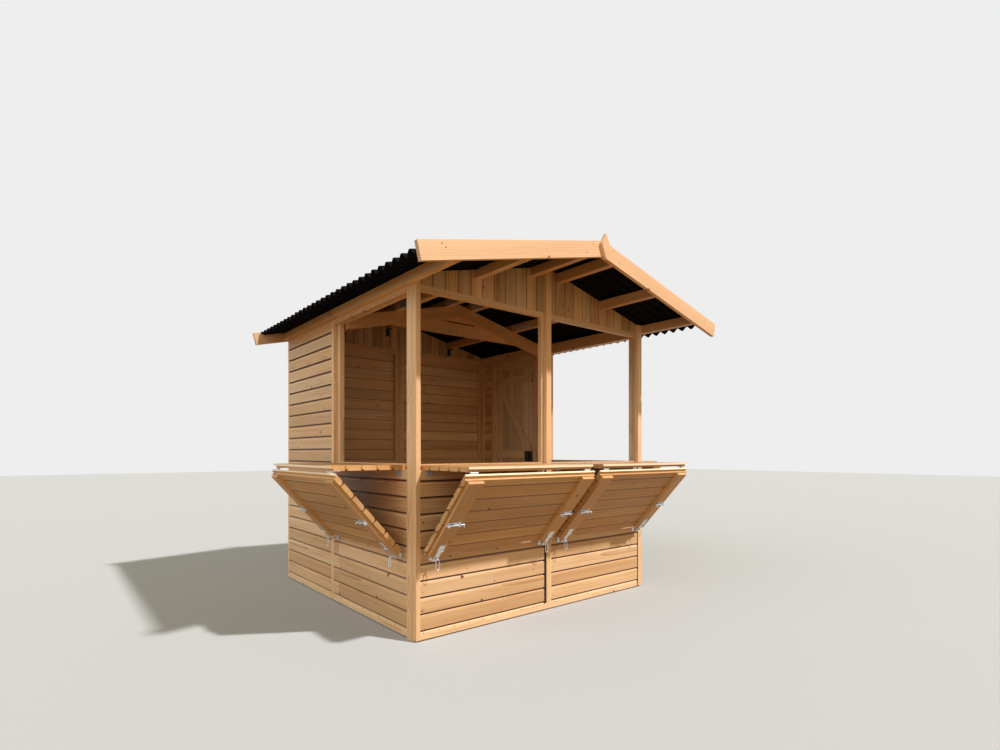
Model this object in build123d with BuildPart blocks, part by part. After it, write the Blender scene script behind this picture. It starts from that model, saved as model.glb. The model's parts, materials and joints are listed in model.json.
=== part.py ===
"""Wooden market stall: a timber frame clad in coved shiplap boards, with four fold-down
counters, a side door and a low double-pitched roof of corrugated bitumen sheet.

Millimetres, +Z up. The origin is on the ground at the middle of the plan, +X points to the
right of the front and +Y points to the rear.
"""

import math
import os

from build123d import *

# Overall plan, measured over the cladding
WIDTH = 2060.0
DEPTH = 2080.0

# Timber sections
BOARD = 26.0  # cladding, trims and barge boards
FRAME_DEPTH = 32.0  # frame timber, square to the wall
STILE = 45.0  # frame timber, along the wall
PANEL_JOINT = 2.0  # gap between the two frames of a wall
TRIM_WIDTH = 45.0
SAW_CUT = 1.0  # gap where two timbers meet end to end

# Coved shiplap
BOARD_PITCH = 93.0
COVE_HEIGHT = 13.0
COVE_DEPTH = 9.0
COVE_STEP = 2.0
COVE_ROUND = math.cos(math.radians(45))

# Base
BEARER_WIDTH = 45.0
BEARER_HEIGHT = 42.0
BEARER_COUNT = 5
DECK_THICKNESS = 20.0
DECK_BOARDS = 17
CLADDING_FOOT = 8.0
FIRST_GROOVE = 62.0

# Heights of the rails
BOTTOM_RAIL = 45.0
SILL_TOP = 990.0
HEADER_DROP = 95.8  # below the underside of the sheets over the side walls
HEADER_HEIGHT = 33.0
REAR_RAIL_DROP = 21.8

# Roof
RIDGE_HEIGHT = 2310.0  # underside of the sheets at the ridge
SLOPE_ANGLE = 13.55
FRONT_OVERHANG = 470.0  # to the outer face of the front barge boards
EAVE_OVERHANG = 215.0
BARGE_OVERHANG = 277.0
BARGE_WIDTH = 95.0
BARGE_RISE = 32.0  # top edge above the underside of the sheets, plumb
SHEET_THICKNESS = 3.0
WAVE_PITCH = 79.0
WAVE_HEIGHT = 34.0
RIDGE_CAP_WING = 150.0
RIDGE_CAP_THICKNESS = 3.0
FINIAL_WIDTH = 72.0
FINIAL_RISE = 71.0  # above the underside of the sheets at the ridge
FINIAL_SHOULDER_RISE = 10.0
FINIAL_FALL = 82.0
FINIAL_THICKNESS = 20.0

# Purlins and truss
PURLIN_WIDTH = 45.0
PURLIN_DROP = 52.0  # depth on the low side
RIDGE_PURLIN_OFFSET = 98.0
MID_PURLIN_OFFSET = 553.0
EAVE_SPLICE = 28.0  # joints of the purlins, from the front face
PURLIN_SPLICE = 872.0
RAFTER_DEPTH = 95.0
TRUSS_THICKNESS = 45.0
COLLAR_DROP = 43.8  # below the underside of the sheets over the side walls
COLLAR_DEPTH = 98.0
COLLAR_HALF_LENGTH = 640.0
GUSSET_GAP = 12.0  # above the collar
GUSSET_HALF_LENGTH = 272.0
GUSSET_THICKNESS = 18.0
NOTCH_CLEARANCE = 1.0
GABLE_THICKNESS = 20.0
GABLE_BOARD = 90.5
GABLE_GROOVE = 3.0
SPLICE_PLATE = (2.0, 175.0, 46.0)
BRACKET_LEAF = 2.5
BRACKET_WIDTH = 40.0
BRACKET_LEGS = (60.0, 70.0)

# Side walls
SIDE_POST_END = 104.0  # from the front face
LEFT_REAR_PANEL = 955.0  # from the rear face
RIGHT_REAR_PANEL = 1075.0

# Fold-down counters: the flap hangs under the outer edge and leans back to the wall
COUNTER_REACH = 430.0
COUNTER_TOP = 983.0
COUNTER_END_GAP = 2.0
COUNTER_TONGUE = 18.0
FLAP_LENGTH = 588.0
FLAP_END_GAP = 3.0
FLAP_GAP = 12.0  # from the counter down to the coved edge of the flap
FLAP_SETBACK = 12.0
FLAP_ANGLE = 48.3
FLAP_FIRST_GROOVE = 70.0
BATTEN_WIDTH = 100.0
BATTEN_THICKNESS = 20.0
BATTEN_SETBACK = 24.0
BATTEN_INSET = 15.0

# Steel of the counters
LEAF = 2.5
LEAF_LENGTH = 35.0
HINGE_WIDTH = 50.0
HINGE_INSET = 18.0
FLAP_KNUCKLE = 6.0
SILL_KNUCKLE = 4.0
BOLT_DOWN = 322.0  # distances down the flap
BOLT_PLATE = (80.0, 28.0)
BOLT_RADIUS = 5.0
BOLT_LIFT = 1.0  # the rod runs clear of its plate
BOLT_LENGTH = 108.0
BOLT_KNOB = (3.5, 18.0)
HASP_START = 492.0
HASP_HINGE = 540.0
HASP_SLOT = 606.0
HASP_END = 624.0
HASP_WIDTH = 40.0
HASP_SLOT_SIZE = (20.0, 9.0)
STAPLE_PLATE = (26.0, 30.0)
STAPLE_TAB = (5.0, 10.0)
STAPLE_REACH = 76.0
STAPLE_EYE = 2.5

# Door in the right wall, measured from the rear face
DOOR_START = 883.0
DOOR_END = 297.0
DOOR_GAP = 6.0
DOOR_BOTTOM = 74.0
DOOR_TOP_DROP = 72.0  # below the top rail
DOOR_THICKNESS = 24.0
DOOR_BOARDS = 6
BOARD_GROOVE = 4.0
LEDGE_WIDTH = 78.0
LEDGE_THICKNESS = 20.0
LEDGE_INSET = 22.0
LEDGE_HEIGHTS = (110.0, 1003.0)
TOP_LEDGE_DROP = 159.0
BRACE_FOOT = 90.0
DOOR_HINGE_RAISE = 150.0
TOP_DOOR_HINGE_DROP = 254.0
DOOR_HINGE_LEAF = 3.0
HINGE_STAND_OFF = 8.0
HINGE_PLATE_WIDTH = 38.0
HINGE_PLATE_HEIGHT = 60.0
HINGE_STRAP_LENGTH = 300.0
HINGE_STRAP_ROOT = 38.0
HINGE_STRAP_TIP = 20.0
KNUCKLE_RADIUS = 6.0
PIN_RADIUS = 3.0
PIN_CLEARANCE = 0.3
LATCH_SIZE = (22.0, 82.0, 95.0)
LATCH_BOTTOM = 975.0
KNOB_RADIUS = 24.0
KNOB_NECK = (9.0, 26.0)
KNOB_ROSE = (27.0, 4.0)

half_width = WIDTH / 2
half_depth = DEPTH / 2
slope_angle = math.radians(SLOPE_ANGLE)
slope = math.tan(slope_angle)
frame_inner = BOARD + FRAME_DEPTH
counter_bottom = COUNTER_TOP - BOARD
eave_height = RIDGE_HEIGHT - slope * half_width
header_bottom = eave_height - HEADER_DROP
header_top = header_bottom + HEADER_HEIGHT
rear_rail_top = eave_height - REAR_RAIL_DROP
door_top = header_bottom - DOOR_TOP_DROP
ledge_heights = (*LEDGE_HEIGHTS, door_top - TOP_LEDGE_DROP)
door_hinge_heights = (DOOR_HINGE_RAISE, door_top - TOP_DOOR_HINGE_DROP)
roof_front = -half_depth - FRONT_OVERHANG
purlin_front = roof_front + BOARD
purlin_rear = half_depth
centre_bottom = (Align.CENTER, Align.CENTER, Align.MIN)

# Each wall has its own plane: x runs along the wall, y points inwards and z up
front_wall = Plane((0, 0, 0), x_dir=(1, 0, 0), z_dir=(0, 0, 1))
right_wall = Plane((0, 0, 0), x_dir=(0, 1, 0), z_dir=(0, 0, 1))
rear_wall = Plane((0, 0, 0), x_dir=(-1, 0, 0), z_dir=(0, 0, 1))
left_wall = Plane((0, 0, 0), x_dir=(0, -1, 0), z_dir=(0, 0, 1))


def roof_underside(x):
    """Height of the underside of the sheets at a distance x from the ridge line."""
    return RIDGE_HEIGHT - slope * abs(x)


def save(builder, label):
    """Label a finished sub-part and write it to its own file."""
    builder.part.label = label
    export_step(builder.part, f"parts/{label}.step")


def bar(x_span, y_span, z_span, mode=Mode.ADD):
    """A squared piece between two limits on each axis of the current plane."""
    spans = (x_span, y_span, z_span)
    with Locations(tuple((start + end) / 2 for start, end in spans)):
        Box(*(end - start for start, end in spans), mode=mode)


def section_plane(wall, run, inward=0.0, up=0.0):
    """A plane square to a wall: x points up, y points outwards and z along the wall."""
    origin = wall.from_local_coords(Vector(run, inward, up))
    return Plane(origin, x_dir=wall.z_dir, z_dir=wall.x_dir)


def shiplap(plane, height, first_groove, rebate=0.0, tongue=0.0):
    """Section of stacked boards: x runs up the boards and y out to their coved face.

    The first board can have a rebate at its back, and the last one a tongue.
    """
    face = BOARD
    bed = BOARD - COVE_DEPTH
    grooves = []
    level = first_groove
    while level < height - tongue - COVE_HEIGHT:
        grooves.append(level)
        level += BOARD_PITCH
    with BuildSketch(plane) as section:
        with BuildLine():
            point = (0, face)
            for groove in grooves:
                cove_start = (groove - COVE_HEIGHT - COVE_STEP, face)
                cove_end = (groove - COVE_STEP, bed)
                middle = (
                    groove - COVE_STEP - COVE_ROUND * COVE_HEIGHT,
                    face - COVE_ROUND * COVE_DEPTH,
                )
                Line(point, cove_start)
                ThreePointArc(cove_start, middle, cove_end)
                Polyline(cove_end, (groove, bed), (groove, face))
                point = (groove, face)
            outline = [point, (height - tongue, face)]
            if tongue:
                outline += [(height - tongue, face / 2), (height, face / 2)]
            outline.append((height, 0))
            if rebate:
                outline += [(rebate, 0), (rebate, face / 2), (0, face / 2)]
            else:
                outline.append((0, 0))
            Polyline(*outline, (0, face))
        make_face()
    return section.sketch


def v_jointed(plane, width, thickness, boards, both_faces):
    """Section of boards side by side, with V-joints in the far face or in both faces."""
    joints = [width * joint / boards for joint in range(1, boards)]
    outline = [(0, 0)]
    if both_faces:
        for x in joints:
            outline += [(x - BOARD_GROOVE, 0), (x, BOARD_GROOVE), (x + BOARD_GROOVE, 0)]
    outline += [(width, 0), (width, thickness)]
    for x in reversed(joints):
        bed = thickness - BOARD_GROOVE
        outline += [(x + BOARD_GROOVE, thickness), (x, bed), (x - BOARD_GROOVE, thickness)]
    outline.append((0, thickness))
    with BuildSketch(plane) as section:
        with BuildLine():
            Polyline(*outline, close=True)
        make_face()
    return section.sketch


class WallFrame:
    """Two frames side by side in one wall, each with two stiles and rails between them."""

    def __init__(self, wall, face, start, split, end, top):
        self.wall = wall
        self.face = face
        self.start = start
        self.split = split
        self.end = end
        self.top = top

    @property
    def depth_span(self):
        """From the outer to the inner face of the frame timber."""
        return (-self.face + BOARD, -self.face + frame_inner)

    @property
    def bays(self):
        """Clear width between the stiles, for each of the two frames."""
        return (
            (self.start + STILE, self.split - PANEL_JOINT / 2 - STILE),
            (self.split + PANEL_JOINT / 2 + STILE, self.end - STILE),
        )

    def add_stiles(self, extra=(), short=None):
        """Upright timbers, with any extra ones given by their first edge.

        The short one, counted from the start of the wall, ends at the sill.
        """
        edges = [edge for left, right in self.bays for edge in (left - STILE, right)]
        with Locations(self.wall):
            for number, edge in enumerate(edges + list(extra)):
                stile_top = SILL_TOP if number == short else self.top
                bar((edge, edge + STILE), self.depth_span, (0, stile_top))

    def add_rails(self, levels):
        """Level timbers: each is given by its bay, its underside and its top."""
        with Locations(self.wall):
            for run, low, high in levels:
                bar(run, self.depth_span, (low, high))

    def add_boards(self, panels):
        """Shiplap over part of the wall: each panel has its run, its foot and its top."""
        for (run_start, run_end), foot, top in panels:
            passed = max(0, math.ceil((foot - FIRST_GROOVE) / BOARD_PITCH))
            first = FIRST_GROOVE + passed * BOARD_PITCH - foot
            if first < COVE_HEIGHT + COVE_STEP:
                first += BOARD_PITCH
            plane = section_plane(self.wall, run_start, BOARD - self.face, foot)
            extrude(shiplap(plane, top - foot, first), amount=run_end - run_start)


os.makedirs("parts", exist_ok=True)

# Base: bearers from side to side with the deck boards across them
room_width = WIDTH - 2 * frame_inner
room_depth = DEPTH - 2 * frame_inner
with BuildPart() as floor_bearers:
    bearer_step = (room_depth - BEARER_WIDTH) / (BEARER_COUNT - 1)
    with GridLocations(0, bearer_step, 1, BEARER_COUNT):
        Box(room_width, BEARER_WIDTH, BEARER_HEIGHT, align=centre_bottom)
save(floor_bearers, "floor_bearers")

with BuildPart() as floor_deck:
    deck_plane = Plane(
        (-room_width / 2, room_depth / 2, BEARER_HEIGHT), x_dir=(1, 0, 0), z_dir=(0, -1, 0)
    )
    deck = v_jointed(deck_plane, room_width, DECK_THICKNESS, DECK_BOARDS, False)
    extrude(deck, amount=room_depth)
save(floor_deck, "floor_deck")

# Front wall: two serving openings under a header, open up to the roof overhang
front = WallFrame(front_wall, half_depth, -half_width, 0, half_width, header_top)
with BuildPart() as front_stiles:
    front.add_stiles()
save(front_stiles, "front_stiles")

with BuildPart() as front_rails:
    for bay in front.bays:
        front.add_rails(
            [
                (bay, 0, BOTTOM_RAIL),
                (bay, SILL_TOP - STILE, SILL_TOP),
                (bay, header_bottom, header_top),
            ]
        )
save(front_rails, "front_rails")

# Rear wall: two closed panels
rear_reach = half_width - BOARD
rear = WallFrame(rear_wall, half_depth, -rear_reach, 0, rear_reach, rear_rail_top)
with BuildPart() as rear_stiles:
    rear.add_stiles()
save(rear_stiles, "rear_stiles")

with BuildPart() as rear_rails:
    for bay in rear.bays:
        rear.add_rails(
            [
                (bay, 0, BOTTOM_RAIL),
                (bay, SILL_TOP - STILE, SILL_TOP),
                (bay, rear_rail_top - STILE, rear_rail_top),
            ]
        )
save(rear_rails, "rear_rails")

# Side walls: they stand between the front and rear frames, an opening in front on each side
side_top = roof_underside(half_width - BOARD) - PURLIN_DROP / 4
side_rear = half_depth - frame_inner
side_front = half_depth - SIDE_POST_END
left_split = LEFT_REAR_PANEL - half_depth
right_split = half_depth - RIGHT_REAR_PANEL
left = WallFrame(left_wall, half_width, -side_rear, left_split, side_front, side_top)
right = WallFrame(right_wall, half_width, -side_front, right_split, side_rear, side_top)
left_closed, left_open = left.bays
right_open, right_closed = right.bays
door_start = half_depth - DOOR_START
door_end = half_depth - DOOR_END
with BuildPart() as side_stiles:
    left.add_stiles(short=3)
    right.add_stiles(extra=(door_start - STILE, door_end), short=0)
save(side_stiles, "side_stiles")

before_door = (right_closed[0], door_start - STILE)
after_door = (door_end + STILE, right_closed[1])
with BuildPart() as side_rails:
    for frame, bay, header_bay in (
        (left, left_closed, left_closed),
        (left, left_open, (left_open[0], side_rear)),
        (right, right_open, (-side_rear, right_open[1])),
    ):
        frame.add_rails(
            [
                (bay, 0, BOTTOM_RAIL),
                (bay, SILL_TOP - STILE, SILL_TOP),
                (header_bay, header_bottom, side_top),
            ]
        )
    for bay in (before_door, after_door):
        right.add_rails([(bay, 0, BOTTOM_RAIL), (bay, header_bottom, side_top)])
    right.add_rails(
        [
            ((door_start, door_end), 0, BOTTOM_RAIL),
            ((door_start, door_end), door_top + DOOR_GAP, side_top),
        ]
    )
save(side_rails, "side_rails")

# Corner posts: between the front frame and the side frames, cut back to a board over the sill
with BuildPart() as corner_posts:
    for side in (-1, 1):
        for thickness, foot, top in (
            (frame_inner, 0, SILL_TOP),
            (BOARD, SILL_TOP, roof_underside(half_width)),
        ):
            bar(
                sorted((side * half_width, side * (half_width - thickness))),
                (-half_depth + frame_inner, -side_front),
                (foot, top),
            )
save(corner_posts, "corner_posts")

# Cladding: each panel runs between the trims
mid_trim = TRIM_WIDTH / 2
rear_corner = half_depth - BOARD
wall_top = roof_underside(half_width)
left_trim = (left_split - TRIM_WIDTH, left_split)
right_trim = (right_split, right_split + TRIM_WIDTH)
above_door = door_top + DOOR_GAP
hatches = {
    "front left": (front, (-half_width + BOARD, -mid_trim), front.bays[0]),
    "front right": (front, (mid_trim, half_width - TRIM_WIDTH), front.bays[1]),
    "left": (left, (left_trim[1], side_front), left_open),
    "right": (right, (-side_front, right_trim[0]), right_open),
}
lowest_cove = FIRST_GROOVE - COVE_STEP - COVE_HEIGHT
with BuildPart() as front_cladding:
    for name in ("front left", "front right"):
        front.add_boards([(hatches[name][1], CLADDING_FOOT, counter_bottom)])
    front.add_boards([((-mid_trim, mid_trim), CLADDING_FOOT, lowest_cove)])
save(front_cladding, "front_cladding")

with BuildPart() as rear_cladding:
    rear.add_boards(
        [
            ((-half_width + TRIM_WIDTH, -mid_trim), CLADDING_FOOT, rear_rail_top),
            ((mid_trim, half_width - TRIM_WIDTH), CLADDING_FOOT, rear_rail_top),
        ]
    )
save(rear_cladding, "rear_cladding")

with BuildPart() as left_cladding:
    left.add_boards(
        [
            (hatches["left"][1], CLADDING_FOOT, counter_bottom),
            (hatches["left"][1], header_bottom, wall_top),
            ((-rear_corner, left_trim[0]), CLADDING_FOOT, wall_top),
        ]
    )
save(left_cladding, "left_cladding")

with BuildPart() as right_cladding:
    right.add_boards(
        [
            (hatches["right"][1], CLADDING_FOOT, counter_bottom),
            (hatches["right"][1], header_bottom, wall_top),
            ((right_trim[1], door_start), CLADDING_FOOT, above_door),
            ((door_end, rear_corner), CLADDING_FOOT, above_door),
        ]
    )
save(right_cladding, "right_cladding")

with BuildPart() as door_head_cladding:
    right.add_boards([((right_trim[1], rear_corner), above_door, wall_top)])
save(door_head_cladding, "door_head_cladding")

# Trims over the joints of the panels and at the corners
end_boards = (-half_depth, -half_depth + BOARD)
side_boards = (-half_width, -half_width + BOARD)
trim_span = (CLADDING_FOOT, wall_top)
mid_trim_span = (CLADDING_FOOT, roof_underside(mid_trim))
front_mid_span = (lowest_cove, roof_underside(mid_trim))
with BuildPart() as front_trims:
    with Locations(front_wall):
        bar((-half_width, -half_width + BOARD), end_boards, trim_span)
        bar((half_width - TRIM_WIDTH, half_width), end_boards, trim_span)
        bar((-mid_trim, mid_trim), end_boards, front_mid_span)
save(front_trims, "front_trims")

with BuildPart() as rear_trims:
    with Locations(rear_wall):
        bar((-half_width, -half_width + TRIM_WIDTH), end_boards, trim_span)
        bar((half_width - TRIM_WIDTH, half_width), end_boards, trim_span)
        bar((-mid_trim, mid_trim), end_boards, mid_trim_span)
save(rear_trims, "rear_trims")

with BuildPart() as side_trims:
    with Locations(left_wall):
        bar(left_trim, side_boards, trim_span)
    with Locations(right_wall):
        bar(right_trim, side_boards, trim_span)
        bar((door_start, door_end), side_boards, (CLADDING_FOOT, DOOR_BOTTOM - DOOR_GAP))
save(side_trims, "side_trims")


def purlin_profile(start, offset, side, clearance=0.0):
    """Plumb purlin section at one place along the roof, its top planed to the slope."""
    near = offset - clearance
    far = offset + PURLIN_WIDTH + clearance
    bottom = roof_underside(offset + PURLIN_WIDTH) - PURLIN_DROP - clearance
    with BuildSketch(Plane.XZ.offset(-start)) as section:
        with BuildLine():
            Polyline(
                (side * near, bottom),
                (side * far, bottom),
                (side * far, roof_underside(far)),
                (side * near, roof_underside(near)),
                close=True,
            )
        make_face()
    return section.sketch


def cut_for_purlins(start, end, clearance=0.0):
    """Cut the open part away round the purlins inside the walls."""
    for offset in (MID_PURLIN_OFFSET, RIDGE_PURLIN_OFFSET):
        for side in (-1, 1):
            seat = purlin_profile(start, offset, side, clearance)
            extrude(seat, amount=start - end, mode=Mode.SUBTRACT)


# Gables: upright boards with V-joints between the top rail and the roof, notched round the purlins
gables = (
    ("front_gable", -half_depth + BOARD, half_width, header_top),
    ("rear_gable", half_depth - BOARD - GABLE_THICKNESS, half_width - BOARD, rear_rail_top),
)
joint_side = GABLE_GROOVE * math.sqrt(2)
for name, front_face, reach, foot in gables:
    with BuildPart() as gable:
        with BuildSketch(Plane.XZ.offset(-front_face)):
            with BuildLine():
                Polyline(
                    (-reach, foot),
                    (reach, foot),
                    (reach, roof_underside(reach)),
                    (0, RIDGE_HEIGHT),
                    (-reach, roof_underside(reach)),
                    close=True,
                )
            make_face()
        extrude(amount=-GABLE_THICKNESS)
        cut_for_purlins(purlin_front, purlin_rear, NOTCH_CLEARANCE)
        with GridLocations(GABLE_BOARD, GABLE_THICKNESS, 2 * int(reach / GABLE_BOARD) + 1, 2):
            with Locations((0, front_face + GABLE_THICKNESS / 2, foot)):
                Box(joint_side, joint_side, RIDGE_HEIGHT, rotation=(0, 0, 45), mode=Mode.SUBTRACT)
    save(gable, name)

# Purlins run from barge board to barge board, each in two lengths
purlin_rows = {
    "eave_purlins": ((half_width,), EAVE_SPLICE),
    "roof_purlins": ((MID_PURLIN_OFFSET, RIDGE_PURLIN_OFFSET), PURLIN_SPLICE),
}
for name, (offsets, splice) in purlin_rows.items():
    joint = splice - half_depth
    with BuildPart() as purlins:
        for offset in offsets:
            for side in (-1, 1):
                for start, end in ((purlin_front, joint - SAW_CUT), (joint, purlin_rear)):
                    extrude(purlin_profile(start, offset, side), amount=start - end)
    save(purlins, name)

# Flat steel plates over the purlin joints, on the face towards the left of the front
plate_thickness, plate_length, plate_height = SPLICE_PLATE
with BuildPart() as purlin_plates:
    for offset in (MID_PURLIN_OFFSET, RIDGE_PURLIN_OFFSET):
        plate_bottom = roof_underside(offset + PURLIN_WIDTH) - PURLIN_DROP
        for face in (-offset - PURLIN_WIDTH, offset):
            with Locations((face, PURLIN_SPLICE - half_depth, plate_bottom)):
                Box(
                    plate_thickness,
                    plate_length,
                    plate_height,
                    align=(Align.MAX, Align.CENTER, Align.MIN),
                )
save(purlin_plates, "purlin_plates")

# Angle brackets under the purlins, on the inner faces of the gables
leg_out, leg_down = BRACKET_LEGS
with BuildPart() as purlin_brackets:
    for offset in (MID_PURLIN_OFFSET, RIDGE_PURLIN_OFFSET):
        seat = roof_underside(offset + PURLIN_WIDTH) - PURLIN_DROP
        for side in (-1, 1):
            middle = side * (offset + PURLIN_WIDTH / 2)
            width_span = (middle - BRACKET_WIDTH / 2, middle + BRACKET_WIDTH / 2)
            for end in (-1, 1):
                wall_face = half_depth - BOARD - GABLE_THICKNESS
                leg_span = sorted((end * wall_face, end * (wall_face - leg_out)))
                leaf_span = sorted((end * wall_face, end * (wall_face - BRACKET_LEAF)))
                bar(width_span, leg_span, (seat - BRACKET_LEAF, seat))
                bar(width_span, leaf_span, (seat - leg_down, seat))
save(purlin_brackets, "purlin_brackets")

# Truss across the middle: two rafters under the purlins, a collar and a gusset at the apex
rafter_top = RIDGE_HEIGHT - PURLIN_DROP
collar_bottom = eave_height - COLLAR_DROP
collar_top = collar_bottom + COLLAR_DEPTH
rafter_plumb = RAFTER_DEPTH / math.cos(slope_angle)
rafter_end = half_width - frame_inner
truss_front = TRUSS_THICKNESS / 2
with BuildPart() as truss_rafters:
    for side in (-1, 1):
        apex = SAW_CUT / 2
        with BuildSketch(Plane.XZ):
            with BuildLine():
                Polyline(
                    (side * apex, rafter_top - slope * apex),
                    (side * rafter_end, rafter_top - slope * rafter_end),
                    (side * rafter_end, rafter_top - slope * rafter_end - rafter_plumb),
                    (side * apex, rafter_top - slope * apex - rafter_plumb),
                    close=True,
                )
            make_face()
    extrude(amount=truss_front, both=True)
    cut_for_purlins(-2 * truss_front, 2 * truss_front)
save(truss_rafters, "truss_rafters")


def truss_board(half_length, bottom, top, thickness):
    """A board on the rear face of the truss, its upper corners cut to the rafters."""
    edge = rafter_top - slope * half_length
    with BuildPart() as board:
        with BuildSketch(Plane.XZ.offset(-truss_front)):
            with BuildLine():
                Polyline(
                    (-half_length, bottom),
                    (half_length, bottom),
                    (half_length, edge),
                    (0, rafter_top),
                    (-half_length, edge),
                    close=True,
                )
            make_face()
            with Locations((0, bottom)):
                Rectangle(
                    2 * half_length,
                    top - bottom,
                    align=(Align.CENTER, Align.MIN),
                    mode=Mode.INTERSECT,
                )
        extrude(amount=-thickness)
        cut_for_purlins(-2 * truss_front, 4 * truss_front)
    return board


save(truss_board(COLLAR_HALF_LENGTH, collar_bottom, collar_top, BOARD), "truss_collar")
gusset = truss_board(GUSSET_HALF_LENGTH, collar_top + GUSSET_GAP, rafter_top, GUSSET_THICKNESS)
save(gusset, "truss_gusset")

# Roof sheets: one corrugated sheet on each slope, its waves running down the slope
sheet_length = (half_width + EAVE_OVERHANG) / math.cos(slope_angle)
sheet_run = purlin_rear - purlin_front
wave_count = math.floor(sheet_run / WAVE_PITCH)
wave_step = sheet_run / wave_count
crest = WAVE_HEIGHT - SHEET_THICKNESS


def draw_waves(lift):
    """One face of the sheet as a row of arcs, raised by its thickness or not at all."""
    middle = crest / 2 + lift
    for wave in range(wave_count):
        points = [(wave + part / 4) * wave_step for part in range(5)]
        ThreePointArc((points[0], middle), (points[1], crest + lift), (points[2], middle))
        ThreePointArc((points[2], middle), (points[3], lift), (points[4], middle))


for name, side, start in (("left", -1, purlin_rear), ("right", 1, purlin_front)):
    down_slope = Vector(side, 0, -slope).normalized()
    ridge_plane = Plane((0, start, RIDGE_HEIGHT), x_dir=(0, side, 0), z_dir=down_slope)
    with BuildPart() as sheet:
        with BuildSketch(ridge_plane):
            with BuildLine():
                draw_waves(0)
                draw_waves(SHEET_THICKNESS)
                for edge in (0, sheet_run):
                    Line((edge, crest / 2), (edge, crest / 2 + SHEET_THICKNESS))
            make_face()
        extrude(amount=sheet_length)
    save(sheet, f"roof_sheet_{name}")

# Ridge cap: a folded strip over the heads of the sheets
with BuildPart() as ridge_cap:
    with BuildSketch(Plane.XZ.offset(-purlin_front)):
        with BuildLine():
            cap_low = RIDGE_HEIGHT + WAVE_HEIGHT / math.cos(slope_angle)
            wing_drop = slope * RIDGE_CAP_WING
            Polyline(
                (-RIDGE_CAP_WING, cap_low - wing_drop),
                (0, cap_low),
                (RIDGE_CAP_WING, cap_low - wing_drop),
                (RIDGE_CAP_WING, cap_low - wing_drop + RIDGE_CAP_THICKNESS),
                (0, cap_low + RIDGE_CAP_THICKNESS),
                (-RIDGE_CAP_WING, cap_low - wing_drop + RIDGE_CAP_THICKNESS),
                close=True,
            )
        make_face()
    extrude(amount=-sheet_run)
save(ridge_cap, "ridge_cap")

# Barge boards at the front and rear edges, cut square at the eaves and plumb at the apex
barge_plumb = BARGE_WIDTH / math.cos(slope_angle)
barge_top = RIDGE_HEIGHT + BARGE_RISE
barge_end = half_width + BARGE_OVERHANG
barge_low_end = barge_end - BARGE_WIDTH * math.sin(slope_angle)
for name, front_face in (("front_barge_boards", roof_front), ("rear_barge_boards", purlin_rear)):
    with BuildPart() as barge_boards:
        with BuildSketch(Plane.XZ.offset(-front_face)):
            for side in (-1, 1):
                with BuildLine():
                    Polyline(
                        (side * SAW_CUT / 2, barge_top),
                        (side * barge_end, barge_top - slope * barge_end),
                        (side * barge_low_end, barge_top - slope * barge_low_end - barge_plumb),
                        (side * SAW_CUT / 2, barge_top - barge_plumb),
                        close=True,
                    )
                make_face()
        extrude(amount=-BOARD)
    save(barge_boards, name)

# Finials: kite-shaped plates over the apex joints
with BuildPart() as finials:
    for front_face in (roof_front - FINIAL_THICKNESS, purlin_rear + BOARD):
        with BuildSketch(Plane.XZ.offset(-front_face)):
            with BuildLine():
                Polyline(
                    (0, RIDGE_HEIGHT + FINIAL_RISE),
                    (FINIAL_WIDTH / 2, RIDGE_HEIGHT + FINIAL_SHOULDER_RISE),
                    (0, RIDGE_HEIGHT - FINIAL_FALL),
                    (-FINIAL_WIDTH / 2, RIDGE_HEIGHT + FINIAL_SHOULDER_RISE),
                    close=True,
                )
            make_face()
        extrude(amount=-FINIAL_THICKNESS)
save(finials, "finials")

# Counters with their flaps: all coved faces point down, towards the wall
flap_angle = math.radians(FLAP_ANGLE)
counter_depth = COUNTER_REACH + BOARD


def counter_plane(frame, run):
    """Section of an open counter: x points out from the sill, y down and z along the wall."""
    seat = Vector(run, BOARD - frame.face, COUNTER_TOP)
    origin = frame.wall.from_local_coords(seat)
    return Plane(origin, x_dir=-frame.wall.y_dir, z_dir=frame.wall.x_dir)


def flap_plane(frame, run):
    """Section of an open flap: x points down the flap, y in to its coved face."""
    inward, up = frame.wall.y_dir, frame.wall.z_dir
    edge = Vector(run, FLAP_SETBACK - COUNTER_REACH - frame.face, counter_bottom - FLAP_GAP)
    down = inward * math.cos(flap_angle) - up * math.sin(flap_angle)
    across = inward * math.sin(flap_angle) + up * math.cos(flap_angle)
    origin = frame.wall.from_local_coords(edge) - across * BOARD
    return Plane(origin, x_dir=down, z_dir=frame.wall.x_dir)


def flap_run(panel):
    """Start and length of a flap over the panel that it closes."""
    return panel[0] + FLAP_END_GAP, panel[1] - panel[0] - 2 * FLAP_END_GAP


def batten_edges(length):
    """First edges of the two battens of a flap."""
    return BATTEN_INSET, length - BATTEN_INSET - BATTEN_WIDTH


with BuildPart() as counters:
    for frame, panel, bay in hatches.values():
        start = bay[0] + COUNTER_END_GAP
        plane = counter_plane(frame, start)
        section = shiplap(plane, counter_depth, BOARD_PITCH, tongue=COUNTER_TONGUE)
        extrude(section, amount=bay[1] - COUNTER_END_GAP - start)
save(counters, "counters")

with BuildPart() as flaps:
    for frame, panel, bay in hatches.values():
        start, length = flap_run(panel)
        plane = flap_plane(frame, start)
        section = shiplap(plane, FLAP_LENGTH, FLAP_FIRST_GROOVE, rebate=COUNTER_TONGUE)
        extrude(section, amount=length)
save(flaps, "flaps")

with BuildPart() as flap_battens:
    for frame, panel, bay in hatches.values():
        start, length = flap_run(panel)
        with Locations(flap_plane(frame, start)):
            for edge in batten_edges(length):
                bar(
                    (BATTEN_SETBACK, FLAP_LENGTH),
                    (-BATTEN_THICKNESS, 0),
                    (edge, edge + BATTEN_WIDTH),
                )
save(flap_battens, "flap_battens")

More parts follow.
